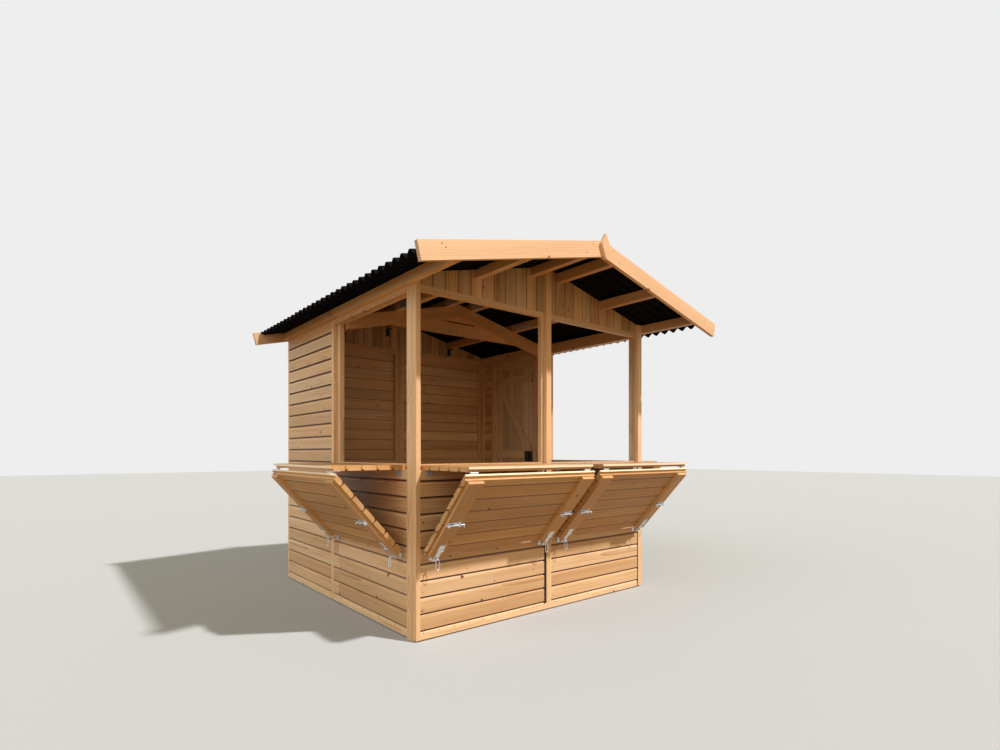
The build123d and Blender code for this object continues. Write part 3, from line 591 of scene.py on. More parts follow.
@dataclass(frozen=True)
class Growth:
    """How spruce grows: the knots, growth lines and fibres that any of its boards shows."""

    knot_cells: float = 5.6  # places for a knot to the metre, each way
    knot_free: float = 0.54  # share of those places without a knot
    knot_sizes: Pair = (0.045, 0.095)  # in shares of a place
    knot_rim: float = 0.02
    knot_ragged: float = 0.05
    knot_noise: float = 90.0
    knot_reach: float = 0.36  # how far out the lines bend round a knot, in shares of a place
    knot_pull: float = 0.022
    streaks: Point = (0.8, 16.0, 16.0)  # to the metre: along, across and through
    bends: float = 1.6  # to the metre
    bend: float = 0.034
    pith_across: Pair = (-0.05, 0.16)  # from the lower edge of the board
    pith_below: Pair = (0.015, 0.06)
    thickest: float = 0.06
    late_wood: float = 2.4  # a higher power leaves narrower dark lines
    line_end: float = 0.94  # where in the year's growth a line breaks off
    fibres: Point = (7.0, 330.0, 330.0)  # 3 mm apart: drawn coarser than real so that they show
    thin_joint: float = 0.004  # where the boards have no cove
    cove_highlight_band: Pair = (0.022, 0.028)  # how far below a joint the painted highlight of the cove ends

    def group(self) -> bpy.types.NodeTree:
        """Make the node group that draws growth lines, fibres, knots and joints of boards.

        Returns:
            The group, which all timbers share.
        """
        tree = bpy.data.node_groups.new("spruce_growth", "ShaderNodeTree")
        tree.interface.new_socket(name="Place", in_out="INPUT", socket_type="NodeSocketVector")
        for name in (
            "Cover",
            "First joint",
            "Seed",
            "Line spacing",
            "Joint below",
            "Joint above",
            "Coved from",
        ):
            tree.interface.new_socket(name=name, in_out="INPUT", socket_type="NodeSocketFloat")
        for name in ("Tone", "Warmth", "Lines", "Fibres", "Knot", "Joint", "Cove"):
            tree.interface.new_socket(name=name, in_out="OUTPUT", socket_type="NodeSocketFloat")
        given = add(tree, "NodeGroupInput").outputs
        place = add(tree, "ShaderNodeSeparateXYZ", {0: given["Place"]}).outputs
        along, across, through = place

        # Which board this is, and how far across it
        from_first = add(
            tree, "ShaderNodeMath", {0: across, 1: given["First joint"]}, operation="SUBTRACT"
        ).outputs[0]
        boards = add(
            tree, "ShaderNodeMath", {0: from_first, 1: given["Cover"]}, operation="DIVIDE"
        ).outputs[0]
        index = add(tree, "ShaderNodeMath", {0: boards}, operation="FLOOR").outputs[0]
        within = add(tree, "ShaderNodeMath", {0: boards}, operation="FRACT").outputs[0]
        on_board = add(
            tree, "ShaderNodeMath", {0: within, 1: given["Cover"]}, operation="MULTIPLY"
        ).outputs[0]
        half = add(tree, "ShaderNodeMath", {0: along}, operation="SIGN").outputs[0]
        side = add(tree, "ShaderNodeMath", {0: through}, operation="SIGN").outputs[0]
        identity = add(
            tree, "ShaderNodeCombineXYZ", {0: index, 1: half, 2: given["Seed"]}
        ).outputs[0]
        chance = add(
            tree,
            "ShaderNodeTexWhiteNoise",
            {"Vector": identity, "W": side},
            noise_dimensions="4D",
        ).outputs
        chances = add(tree, "ShaderNodeSeparateXYZ", {0: chance["Color"]}).outputs

        # Paler and redder stretches along each board, where the lines also come and go
        drawn_out = add(
            tree,
            "ShaderNodeVectorMath",
            {0: given["Place"], 1: self.streaks},
            operation="MULTIPLY",
        ).outputs[0]
        streak = add(
            tree, "ShaderNodeTexNoise", {"Vector": drawn_out, "Scale": 1.0, "Detail": 2.0}
        ).outputs[0]
        warmth = add(
            tree, "ShaderNodeMath", {0: streak, 1: 1.3, 2: chances[2]}, operation="MULTIPLY_ADD"
        ).outputs[0]
        evened = add(
            tree, "ShaderNodeMapRange", {"Value": warmth, "From Min": 0.25, "From Max": 1.35}
        ).outputs[0]

        knot, knot_pull = self.knots(tree, place, chances)
        phase = add(
            tree,
            "ShaderNodeMath",
            {0: self.rings(tree, place, chances, on_board, knot_pull), 1: given["Line spacing"]},
            operation="DIVIDE",
        ).outputs[0]
        stretch = add(
            tree,
            "ShaderNodeVectorMath",
            {0: given["Place"], 1: self.fibres},
            operation="MULTIPLY",
        ).outputs[0]
        fibres = add(
            tree, "ShaderNodeTexNoise", {"Vector": stretch, "Scale": 1.0, "Detail": 3.0}
        ).outputs[0]
        joint, cove = self.joints(tree, given, on_board, through)
        add(
            tree,
            "NodeGroupOutput",
            {
                "Tone": chance["Value"],
                "Warmth": evened,
                "Lines": self.lines(tree, phase, streak),
                "Fibres": fibres,
                "Knot": knot,
                "Joint": joint,
                "Cove": cove,
            },
        )
        return tree

    def knots(
        self, tree: bpy.types.NodeTree, place: Sockets, chances: Sockets
    ) -> tuple[bpy.types.NodeSocket, bpy.types.NodeSocket]:
        """Knots anywhere on a board, about fourteen to the square metre.

        Args:
            tree: The group's tree.
            place: The place along, across and through the board.
            chances: Three random values of the board.

        Returns:
            How much of the point is knot, and how far the lines are pulled aside by it.
        """
        along, across, _ = place
        first, _, third = chances
        shifted = add(
            tree, "ShaderNodeMath", {0: first, 1: 57.0, 2: across}, operation="MULTIPLY_ADD"
        ).outputs[0]
        knot_place = add(
            tree, "ShaderNodeCombineXYZ", {0: along, 1: shifted, 2: third}
        ).outputs[0]
        cells = add(
            tree,
            "ShaderNodeTexVoronoi",
            {"Vector": knot_place, "Scale": self.knot_cells, "Randomness": 1.0},
            voronoi_dimensions="2D",
        ).outputs
        size, chance, _ = add(tree, "ShaderNodeSeparateXYZ", {0: cells["Color"]}).outputs
        present = add(
            tree, "ShaderNodeMath", {0: chance, 1: self.knot_free}, operation="GREATER_THAN"
        ).outputs[0]
        ragged = add(
            tree,
            "ShaderNodeTexNoise",
            {"Vector": knot_place, "Scale": self.knot_noise, "Detail": 2.0},
        ).outputs[0]
        edge = add(
            tree,
            "ShaderNodeMath",
            {0: ragged, 1: self.knot_ragged, 2: cells["Distance"]},
            operation="MULTIPLY_ADD",
        ).outputs[0]
        smallest, largest = self.knot_sizes
        radius = add(
            tree, "ShaderNodeMapRange", {"Value": size, "To Min": smallest, "To Max": largest}
        ).outputs[0]
        inner = add(
            tree, "ShaderNodeMath", {0: radius, 1: self.knot_rim}, operation="SUBTRACT"
        ).outputs[0]
        disc = add(
            tree,
            "ShaderNodeMapRange",
            {"Value": edge, "From Min": inner, "From Max": radius, "To Min": 1.0, "To Max": 0.0},
            interpolation_type="SMOOTHSTEP",
        ).outputs[0]
        knot = add(tree, "ShaderNodeMath", {0: disc, 1: present}, operation="MULTIPLY").outputs[0]
        pull = add(
            tree,
            "ShaderNodeMapRange",
            {
                "Value": cells["Distance"],
                "From Min": 0.0,
                "From Max": self.knot_reach,
                "To Min": self.knot_pull,
                "To Max": 0.0,
            },
            interpolation_type="SMOOTHSTEP",
        ).outputs[0]
        pulled = add(
            tree, "ShaderNodeMath", {0: pull, 1: present}, operation="MULTIPLY"
        ).outputs[0]
        return knot, pulled

    def rings(
        self,
        tree: bpy.types.NodeTree,
        place: Sockets,
        chances: Sockets,
        on_board: bpy.types.NodeSocket,
        knot_pull: bpy.types.NodeSocket,
    ) -> bpy.types.NodeSocket:
        """The distance from a pith that lies off the board, bent along its length.

        Args:
            tree: The group's tree.
            place: The place along, across and through the board.
            chances: Three random values of the board.
            on_board: The distance up from the board's lower edge.
            knot_pull: How far a knot pulls the rings aside.

        Returns:
            The distance, which is the same all round one ring.
        """
        along, across, through = place
        first, second, third = chances
        slow = add(
            tree, "ShaderNodeMath", {0: first, 1: 23.0, 2: along}, operation="MULTIPLY_ADD"
        ).outputs[0]
        bend_place = add(
            tree, "ShaderNodeCombineXYZ", {0: slow, 1: across, 2: second}
        ).outputs[0]
        bend = add(
            tree,
            "ShaderNodeTexNoise",
            {"Vector": bend_place, "Scale": self.bends, "Detail": 2.0, "Roughness": 0.4},
        ).outputs[0]
        lowest, highest = self.pith_across
        pith = add(
            tree, "ShaderNodeMapRange", {"Value": second, "To Min": lowest, "To Max": highest}
        ).outputs[0]
        aside = add(
            tree, "ShaderNodeMath", {0: on_board, 1: pith}, operation="SUBTRACT"
        ).outputs[0]
        nearest, farthest = self.pith_below
        below = add(
            tree, "ShaderNodeMapRange", {"Value": third, "To Min": nearest, "To Max": farthest}
        ).outputs[0]
        inward = add(
            tree, "ShaderNodeMath", {0: through, 1: self.thickest}, operation="PINGPONG"
        ).outputs[0]
        depth = add(tree, "ShaderNodeMath", {0: below, 1: inward}).outputs[0]
        ring_place = add(tree, "ShaderNodeCombineXYZ", {0: aside, 1: depth}).outputs[0]
        ring = add(
            tree, "ShaderNodeVectorMath", {0: ring_place}, operation="LENGTH"
        ).outputs["Value"]
        bent = add(
            tree, "ShaderNodeMath", {0: bend, 1: self.bend, 2: ring}, operation="MULTIPLY_ADD"
        ).outputs[0]
        return add(tree, "ShaderNodeMath", {0: bent, 1: knot_pull}).outputs[0]

    def lines(
        self,
        tree: bpy.types.NodeTree,
        phase: bpy.types.NodeSocket,
        streak: bpy.types.NodeSocket,
    ) -> bpy.types.NodeSocket:
        """Growth lines that darken slowly, break off sharply, and fade in some stretches.

        Args:
            tree: The group's tree.
            phase: The distance from the pith, counted in rings.
            streak: The noise of the stretches.

        Returns:
            How dark the line is.
        """
        saw = add(tree, "ShaderNodeMath", {0: phase}, operation="FRACT").outputs[0]
        late = add(
            tree, "ShaderNodeMath", {0: saw, 1: self.late_wood}, operation="POWER"
        ).outputs[0]
        soft = add(
            tree,
            "ShaderNodeMapRange",
            {
                "Value": saw,
                "From Min": self.line_end,
                "From Max": 1.0,
                "To Min": 1.0,
                "To Max": 0.0,
            },
        ).outputs[0]
        shown = add(
            tree,
            "ShaderNodeMapRange",
            {"Value": streak, "From Min": 0.35, "From Max": 0.62, "To Min": 0.3, "To Max": 1.15},
        ).outputs[0]
        sharp = add(tree, "ShaderNodeMath", {0: late, 1: soft}, operation="MULTIPLY").outputs[0]
        return add(tree, "ShaderNodeMath", {0: sharp, 1: shown}, operation="MULTIPLY").outputs[0]

    def joints(
        self,
        tree: bpy.types.NodeTree,
        given: Sockets,
        on_board: bpy.types.NodeSocket,
        through: bpy.types.NodeSocket,
    ) -> tuple[bpy.types.NodeSocket, bpy.types.NodeSocket]:
        """Dark joints, widened on the coved side by painted shade, and a painted highlight on each
        cove.

        Args:
            tree: The group's tree.
            given: The group's inputs.
            on_board: The distance up from the board's lower edge.
            through: The place through the board.

        Returns:
            How much of the point is joint or painted shade, and how much painted cove highlight.
        """
        top = add(
            tree, "ShaderNodeMath", {0: given["Cover"], 1: on_board}, operation="SUBTRACT"
        ).outputs[0]
        deep = add(tree, "ShaderNodeMath", {0: through}, operation="ABSOLUTE").outputs[0]
        coved = add(
            tree, "ShaderNodeMath", {0: deep, 1: given["Coved from"]}, operation="GREATER_THAN"
        ).outputs[0]
        # On the coved side the dark reaches further down: painted shade under the lip of the board
        # above.
        reach_below = add(
            tree, "ShaderNodeMix", {"Factor": coved, 2: self.thin_joint, 3: given["Joint below"]}
        ).outputs[0]
        sides = []
        for distance, reach in ((top, reach_below), (on_board, given["Joint above"])):
            core = add(
                tree, "ShaderNodeMath", {0: reach, 1: 0.5}, operation="MULTIPLY"
            ).outputs[0]
            sides.append(
                add(
                    tree,
                    "ShaderNodeMapRange",
                    {
                        "Value": distance,
                        "From Min": core,
                        "From Max": reach,
                        "To Min": 1.0,
                        "To Max": 0.0,
                    },
                    interpolation_type="SMOOTHSTEP",
                ).outputs[0]
            )
        joint = add(
            tree, "ShaderNodeMath", {0: sides[0], 1: sides[1]}, operation="MAXIMUM"
        ).outputs[0]
        # The band under a joint that gets the painted cove highlight.
        full, clear = self.cove_highlight_band
        under_joint = add(
            tree,
            "ShaderNodeMapRange",
            {"Value": top, "From Min": full, "From Max": clear, "To Min": 1.0, "To Max": 0.0},
        ).outputs[0]
        cove = add(
            tree, "ShaderNodeMath", {0: under_joint, 1: coved}, operation="MULTIPLY"
        ).outputs[0]
        return joint, cove


# Other finishes


@dataclass(frozen=True)
class BitumenFibre:
    """Pressed bitumen fibre sheet: matt black, faintly mottled, with a felted grain."""

    name: str = "bitumen_fibre"
    dark: str = "#080706"
    pale: str = "#131110"
    mixed: Pair = (0.12, 0.4)
    roughness: float = 0.9
    gloss: float = 0.06
    mottle: float = 9.0  # clouds to the metre
    grain: float = 420.0  # felted fibres about 2 mm across
    relief: float = 0.001

    def build(self) -> bpy.types.Material:
        """Make the material.

        Returns:
            The finished material.
        """
        material, tree = new_material(self.name)
        where = add(tree, "ShaderNodeTexCoord").outputs["Object"]
        mottle = add(
            tree, "ShaderNodeTexNoise", {"Vector": where, "Scale": self.mottle, "Detail": 6.0}
        ).outputs[0]
        felt = add(
            tree, "ShaderNodeTexNoise", {"Vector": where, "Scale": self.grain, "Detail": 3.0}
        ).outputs[0]
        share = add(
            tree, "ShaderNodeMath", {0: mottle, 1: felt}, operation="MULTIPLY"
        ).outputs[0]
        darkest, palest = self.mixed
        mixed = add(
            tree, "ShaderNodeMapRange", {"Value": share, "From Min": darkest, "From Max": palest}
        ).outputs[0]
        colour = add(
            tree,
            "ShaderNodeMix",
            {"Factor": mixed, 6: to_linear(self.dark), 7: to_linear(self.pale)},
            data_type="RGBA",
        ).outputs[2]
        relief = add(
            tree, "ShaderNodeBump", {"Height": felt, "Strength": 0.5, "Distance": self.relief}
        ).outputs[0]
        surface = add(
            tree,
            "ShaderNodeBsdfPrincipled",
            {
                "Base Color": colour,
                "Roughness": self.roughness,
                "Normal": relief,
                "IOR": GLOSS_IOR,
                "Specular IOR Level": self.gloss,
            },
        )
        add(tree, "ShaderNodeOutputMaterial", {"Surface": surface.outputs[0]})
        return material


@dataclass(frozen=True)
class Fitting:
    """Coated steel, moulded plastic, or dark strips of painted shade in gaps: two close tones in
    patches, and a changing sheen.
    """

    name: str
    colour: str
    second: str
    metallic: float
    roughness: float
    patch: float  # patches of the coat to the metre
    relief: float = 0.0001
    sheen_swing: float = 0.1

    def build(self) -> bpy.types.Material:
        """Make the material.

        Returns:
            The finished material.
        """
        material, tree = new_material(self.name)
        where = add(tree, "ShaderNodeTexCoord").outputs["Object"]
        patches = add(
            tree, "ShaderNodeTexVoronoi", {"Vector": where, "Scale": self.patch}
        ).outputs["Color"]
        cloud = add(
            tree, "ShaderNodeTexNoise", {"Vector": where, "Scale": self.patch * 3, "Detail": 4.0}
        ).outputs[0]
        share = add(tree, "ShaderNodeSeparateXYZ", {0: patches}).outputs[0]
        colour = add(
            tree,
            "ShaderNodeMix",
            {"Factor": share, 6: to_linear(self.colour), 7: to_linear(self.second)},
            data_type="RGBA",
        ).outputs[2]
        sheen = add(
            tree,
            "ShaderNodeMapRange",
            {
                "Value": cloud,
                "To Min": self.roughness - self.sheen_swing,
                "To Max": self.roughness + self.sheen_swing,
            },
        ).outputs[0]
        relief = add(
            tree, "ShaderNodeBump", {"Height": cloud, "Strength": 0.3, "Distance": self.relief}
        ).outputs[0]
        surface = add(
            tree,
            "ShaderNodeBsdfPrincipled",
            {
                "Base Color": colour,
                "Metallic": self.metallic,
                "Roughness": sheen,
                "Normal": relief,
            },
        )
        add(tree, "ShaderNodeOutputMaterial", {"Surface": surface.outputs[0]})
        return material


@dataclass
class Finishes:
    """All the finishes of the stall, each built once."""

    # Planed, thinly oiled spruce: honey coloured, with brown growth lines and a soft sheen.
    spruce: Timber = Timber("planed_spruce")
    # Narrow trims and corner posts: the palest uprights, made paler as painted sunlight on the
    # near corner post.
    trim: Timber = Timber("spruce_trim", pale="#F0CDA6", warm="#DDB185", seed=2.0)
    # Purlins seen from below: the warmer, browner wood between the dark sheets.
    purlin: Timber = Timber("spruce_purlin", warm="#CC9765", seed=15.0)
    # Barge boards in full sun: pale and clean, with fine lines along them.
    barge: Timber = Timber("spruce_barge", pale="#ECCAA6", warm="#DFB288", seed=21.0)
    # Coved shiplap: each board its own tone, a dark joint widened by painted shade under the lip,
    # and a painted highlight on every cove.
    shiplap: Timber = Timber(
        "spruce_shiplap",
        cover=0.093,
        first_joint=0.062,
        joint_below=0.014,
        joint_above=0.002,
        dark_joints=0.95,
        painted_cove_highlight=0.24,
        seed=3.0,
    )
    # Counter boards: smoother and more orange, the orange partly a painted reflection of the wood
    # round them; a soft gloss and a painted highlight along the outer edge.
    counter: Timber = Timber(
        "spruce_counter",
        pale="#DAAA74",
        warm="#C18A54",
        cover=0.093,
        first_joint=0.0,
        dark_joints=0.6,
        edge=(0.4545, 0.5),
        seed=5.0,
        roughness=0.38,
    )
    # Flaps under the counters: boards painted browner with painted shade, thin joints, a painted
    # highlight on each cove and painted sunlight along the upper edge.
    flap: Timber = Timber(
        "spruce_flap",
        pale="#D9B07D",
        warm="#C2925C",
        line_share=0.6,
        cover=0.093,
        first_joint=0.070,
        joint_below=0.009,
        joint_above=0.0015,
        dark_joints=0.8,
        painted_cove_highlight=0.06,
        edge=(-0.01, 0.0015),
        seed=7.0,
    )
    # Battens on the flaps: plain wide boards, also darkened with painted shade, a little paler
    # than the flaps behind.
    batten: Timber = Timber(
        "spruce_batten",
        pale="#DFB785",
        warm="#C89864",
        cover=0.6,
        first_joint=-0.3,
        seed=9.0,
    )
    # Gable boards: light and dark ones side by side, with strong growth lines.
    gable: Timber = Timber(
        "spruce_gable",
        line_share=0.8,
        tones=(0.68, 1.16),
        cover=0.0905,
        first_joint=0.0,
        dark_joints=0.8,
        seed=11.0,
    )
    # Door boards: upright, thin dark joints, otherwise as the walls inside.
    door: Timber = Timber(
        "spruce_door", cover=0.09567, first_joint=0.163, dark_joints=0.7, seed=13.0
    )
    # Floor boards: paler and duller, walked on, without gloss.
    deck: Timber = Timber(
        "floor_board",
        pale="#E4C69C",
        warm="#D6AE80",
        line="#9C7044",
        cover=0.11435,
        first_joint=-0.972,
        dark_joints=0.85,
        seed=17.0,
        roughness=0.6,
    )
    # Sawn bearers, pressure treated: greenish brown and dull, hardly seen under the skirt.
    bearer: Timber = Timber(
        "treated_bearer",
        pale="#7F704A",
        warm="#6C5E3C",
        line="#4F442B",
        seed=19.0,
        roughness=0.8,
    )
    # Bitumen fibre sheets: nearly black and dull, the darkest thing in the picture.
    bitumen: BitumenFibre = BitumenFibre()
    # Zinc plate: small bright bolts, hasps and hinges with a soft metal shine.
    zinc: Fitting = Fitting("zinc_plated_steel", "#DCDDDE", "#C6C8CA", 1.0, 0.36, 130.0)
    # Galvanised plates: pale grey and matt, with faint spangle, light against the purlins.
    galvanised: Fitting = Fitting("galvanised_sheet", "#EFEDE9", "#DAD9D6", 0.8, 0.45, 160.0)
    # Black powder coat: an even satin black on the door irons and brackets.
    coat: Fitting = Fitting("black_powder_coat", "#141414", "#1C1B1A", 0.0, 0.5, 600.0, 0.0002)
    # Darkened nail heads: small dark dots along the skirt boards and on the barge boards.
    nail: Fitting = Fitting("darkened_nail_heads", "#4A3524", "#2E2118", 0.3, 0.55, 300.0)
    # Sunk nail heads: barely darker than the wood, only seen from near.
    pin: Fitting = Fitting("sunk_nail_heads", "#A67E55", "#8C6844", 0.1, 0.6, 300.0)
    # Painted shade: a dull dark brown strip that stands for the deep shade in the gaps beside the
    # front trims.
    seal: Fitting = Fitting("painted_gap_shade_strip", "#1C0E05", "#26150A", 0.0, 0.95, 500.0, 0.0004)
    # Moulded caps on the roof screws: dull black knobs on black sheets.
    cap: Fitting = Fitting("moulded_cap_plastic", "#1A1918", "#232120", 0.0, 0.6, 200.0)
    made: dict[str, bpy.types.Material] = field(default_factory=dict)

    def timber(self, which: str, lay: Lay) -> bpy.types.Material:
        """The material of one kind of board, made when it is first asked for.

        Args:
            which: The name of the field that holds the timber.
            lay: How the boards lie.

        Returns:
            The material.
        """
        key = f"{which}_{lay.name}"
        if key not in self.made:
            self.made[key] = getattr(self, which).build(lay)
        return self.made[key]

    def plain(self, which: str) -> bpy.types.Material:
        """The material of the sheets or of a fitting, made when it is first asked for.

        Args:
            which: The name of the field that holds the finish.

        Returns:
            The material.
        """
        if which not in self.made:
            self.made[which] = getattr(self, which).build()
        return self.made[which]


# Pieces


def dress(frame: dict, names: Iterable[str], material: bpy.types.Material) -> None:
    """Give some of the solids a material.

    Args:
        frame: What was loaded.
        names: The solids.
        material: The material that they get.
    """
    for name in names:
        slots = frame["nodes"][name].data.materials
        slots.clear()
        slots.append(material)
    LOG.info("%s on %s", material.name, ", ".join(names))


def mesh_piece(
    name: str,
    vertices: list[Point],
    faces: list[tuple[int, ...]],
    facing: list[Point] | None = None,
) -> bpy.types.Object:
    """Make an object from points and faces that are already in place.

    Args:
        name: The name of the piece.
        vertices: Its points.
        faces: Its faces, by the numbers of their points.
        facing: A direction for each point, where something is to stand on it.

    Returns:
        The new object.
    """
    mesh = bpy.data.meshes.new(name)
    mesh.from_pydata(vertices, [], faces)
    if facing:
        attribute = mesh.attributes.new("facing", "FLOAT_VECTOR", "POINT")
        for number, direction in enumerate(facing):
            attribute.data[number].vector = direction
    piece = bpy.data.objects.new(name, mesh)
    bpy.context.scene.collection.objects.link(piece)
    return piece


def grow(
    piece: bpy.types.Object, tree: bpy.types.NodeTree, values: dict[str, object]
) -> bpy.types.Object:
    """Run a geometry tree over a piece and keep the result as a plain mesh.

    Args:
        piece: The object whose mesh the tree starts from.
        tree: The geometry tree.
        values: The tree's inputs by name.

    Returns:
        The same object, with its finished mesh and no modifier.
    """
    modifier = piece.modifiers.new("made", "NODES")
    modifier.node_group = tree
    for item in tree.interface.items_tree:
        if item.item_type == "SOCKET" and item.in_out == "INPUT" and item.name in values:
            modifier[item.identifier] = values[item.name]
    graph = bpy.context.evaluated_depsgraph_get()
    finished = bpy.data.meshes.new_from_object(piece.evaluated_get(graph), depsgraph=graph)
    piece.modifiers.remove(modifier)
    piece.data = finished
    return piece


def new_tree(name: str, sizes: dict[str, str]) -> tuple[bpy.types.NodeTree, dict]:
    """Start a geometry tree with named inputs.

    Args:
        name: The name of the tree.
        sizes: The inputs besides the mesh and material, with the kind of each.

    Returns:
        The tree, and its inputs by name.
    """
    tree = bpy.data.node_groups.new(name, "GeometryNodeTree")
    tree.interface.new_socket(name="Geometry", in_out="INPUT", socket_type="NodeSocketGeometry")
    for size, kind in sizes.items():
        tree.interface.new_socket(name=size, in_out="INPUT", socket_type=f"NodeSocket{kind}")
    tree.interface.new_socket(name="Finish", in_out="INPUT", socket_type="NodeSocketMaterial")
    tree.interface.new_socket(name="Geometry", in_out="OUTPUT", socket_type="NodeSocketGeometry")
    given = add(tree, "NodeGroupInput").outputs
    return tree, {socket.name: socket for socket in given if socket.name}


def close_tree(tree: bpy.types.NodeTree, given: dict, geometry: bpy.types.NodeSocket) -> None:
    """End a geometry tree: real meshes, one finish.

    Args:
        tree: The tree.
        given: Its inputs by name.
        geometry: What it has made so far.
    """
    real = add(tree, "GeometryNodeRealizeInstances", {0: geometry}).outputs[0]
    finished = add(
        tree, "GeometryNodeSetMaterial", {"Geometry": real, "Material": given["Finish"]}
    ).outputs[0]
    add(tree, "NodeGroupOutput", {0: finished})


def outward_turn(tree: bpy.types.NodeTree) -> bpy.types.NodeSocket:
    """Turn what stands on a point towards the way that the point faces.

    Args:
        tree: A geometry tree.

    Returns:
        The rotation.
    """
    facing = add(
        tree, "GeometryNodeInputNamedAttribute", {"Name": "facing"}, data_type="FLOAT_VECTOR"
    ).outputs[0]
    return add(
        tree, "FunctionNodeAlignRotationToVector", {"Vector": facing}, axis="Z"
    ).outputs[0]


def heads_tree() -> bpy.types.NodeTree:
    """A tree that stands a low round head with a crossed recess on every point.

    Returns:
        The tree.
    """
    tree, given = new_tree(
        "fixing_heads",
        {
            "Radius": "Float",
            "Height": "Float",
            "Crown": "Float",
            "Recess": "Float",
            "Sides": "Int",
            "Seed": "Int",
        },
    )
    crown = add(
        tree, "ShaderNodeMath", {0: given["Radius"], 1: given["Crown"]}, operation="MULTIPLY"
    ).outputs[0]
    cone = add(
        tree,
        "GeometryNodeMeshCone",
        {
            "Vertices": given["Sides"],
            "Radius Top": crown,
            "Radius Bottom": given["Radius"],
            "Depth": given["Height"],
        },
    ).outputs[0]
    length = add(
        tree, "ShaderNodeMath", {0: given["Recess"], 1: 2.0}, operation="MULTIPLY"
    ).outputs[0]
    width = add(
        tree, "ShaderNodeMath", {0: given["Recess"], 1: 0.5}, operation="MULTIPLY"
    ).outputs[0]
    slot_size = add(
        tree, "ShaderNodeCombineXYZ", {0: length, 1: width, 2: given["Height"]}
    ).outputs[0]
    cross_size = add(
        tree, "ShaderNodeCombineXYZ", {0: width, 1: length, 2: given["Height"]}
    ).outputs[0]
    slot = add(tree, "GeometryNodeMeshCube", {"Size": slot_size}).outputs[0]
    cross = add(tree, "GeometryNodeMeshCube", {"Size": cross_size}).outputs[0]
    lift = add(tree, "ShaderNodeCombineXYZ", {2: given["Height"]}).outputs[0]
    cutter = add(
        tree,
        "GeometryNodeMeshBoolean",
        {"Mesh 2": slot},
        operation="UNION",
    )
    tree.links.new(cross, cutter.inputs["Mesh 2"])
    raised = add(
        tree, "GeometryNodeTransform", {"Geometry": cutter.outputs[0], "Translation": lift}
    ).outputs[0]
    head = add(
        tree, "GeometryNodeMeshBoolean", {"Mesh 1": cone, "Mesh 2": raised}, operation="DIFFERENCE"
    ).outputs[0]
    spin = add(
        tree,
        "FunctionNodeRandomValue",
        {2: 0.0, 3: math.tau, "Seed": given["Seed"]},
        data_type="FLOAT",
    ).outputs[1]
    turned = add(
        tree,
        "FunctionNodeEulerToRotation",
        {0: add(tree, "ShaderNodeCombineXYZ", {2: spin}).outputs[0]},
    ).outputs[0]
    rotation = add(
        tree,
        "FunctionNodeRotateRotation",
        {"Rotation": outward_turn(tree), "Rotate By": turned},
        rotation_space="LOCAL",
    ).outputs[0]
    heads = add(
        tree,
        "GeometryNodeInstanceOnPoints",
        {"Points": given["Geometry"], "Instance": head, "Rotation": rotation},
    ).outputs[0]
    close_tree(tree, given, heads)
    return tree


def plate_tree() -> bpy.types.NodeTree:
    """A tree that hangs a plate with rows of round holes on every point.

    Returns:
        The tree.
    """
    tree, given = new_tree(
        "punched_plates",
        {
            "Length": "Float",
            "Height": "Float",
            "Thickness": "Float",
            "Hole radius": "Float",
            "Hole step": "Float",
            "Columns": "Int",
            "Rows": "Int",
        },
    )
    size = add(
        tree,
        "ShaderNodeCombineXYZ",
        {0: given["Length"], 1: given["Height"], 2: given["Thickness"]},
    ).outputs[0]
    blank = add(tree, "GeometryNodeMeshCube", {"Size": size}).outputs[0]
    spans = []
    for count in ("Columns", "Rows"):
        gaps = add(tree, "ShaderNodeMath", {0: given[count], 1: -1.0}).outputs[0]
        spans.append(
            add(
                tree, "ShaderNodeMath", {0: gaps, 1: given["Hole step"]}, operation="MULTIPLY"
            ).outputs[0]
        )
    pattern = add(
        tree,
        "GeometryNodeMeshGrid",
        {
            "Size X": spans[0],
            "Size Y": spans[1],
            "Vertices X": given["Columns"],
            "Vertices Y": given["Rows"],
        },
    ).outputs[0]
    depth = add(
        tree, "ShaderNodeMath", {0: given["Thickness"], 1: 4.0}, operation="MULTIPLY"
    ).outputs[0]
    punch = add(
        tree,
        "GeometryNodeMeshCylinder",
        {"Vertices": 12, "Radius": given["Hole radius"], "Depth": depth},
    ).outputs[0]
    punches = add(
        tree, "GeometryNodeInstanceOnPoints", {"Points": pattern, "Instance": punch}
    ).outputs[0]
    real = add(tree, "GeometryNodeRealizeInstances", {0: punches}).outputs[0]
    plate = add(
        tree, "GeometryNodeMeshBoolean", {"Mesh 1": blank, "Mesh 2": real}, operation="DIFFERENCE"
    ).outputs[0]
    along = add(
        tree,
        "FunctionNodeAlignRotationToVector",
        {"Rotation": outward_turn(tree), "Vector": (0.0, 1.0, 0.0)},
        axis="X",
        pivot_axis="Z",
    ).outputs[0]
    plates = add(
        tree,
        "GeometryNodeInstanceOnPoints",
        {"Points": given["Geometry"], "Instance": plate, "Rotation": along},
    ).outputs[0]
    close_tree(tree, given, plates)
    return tree


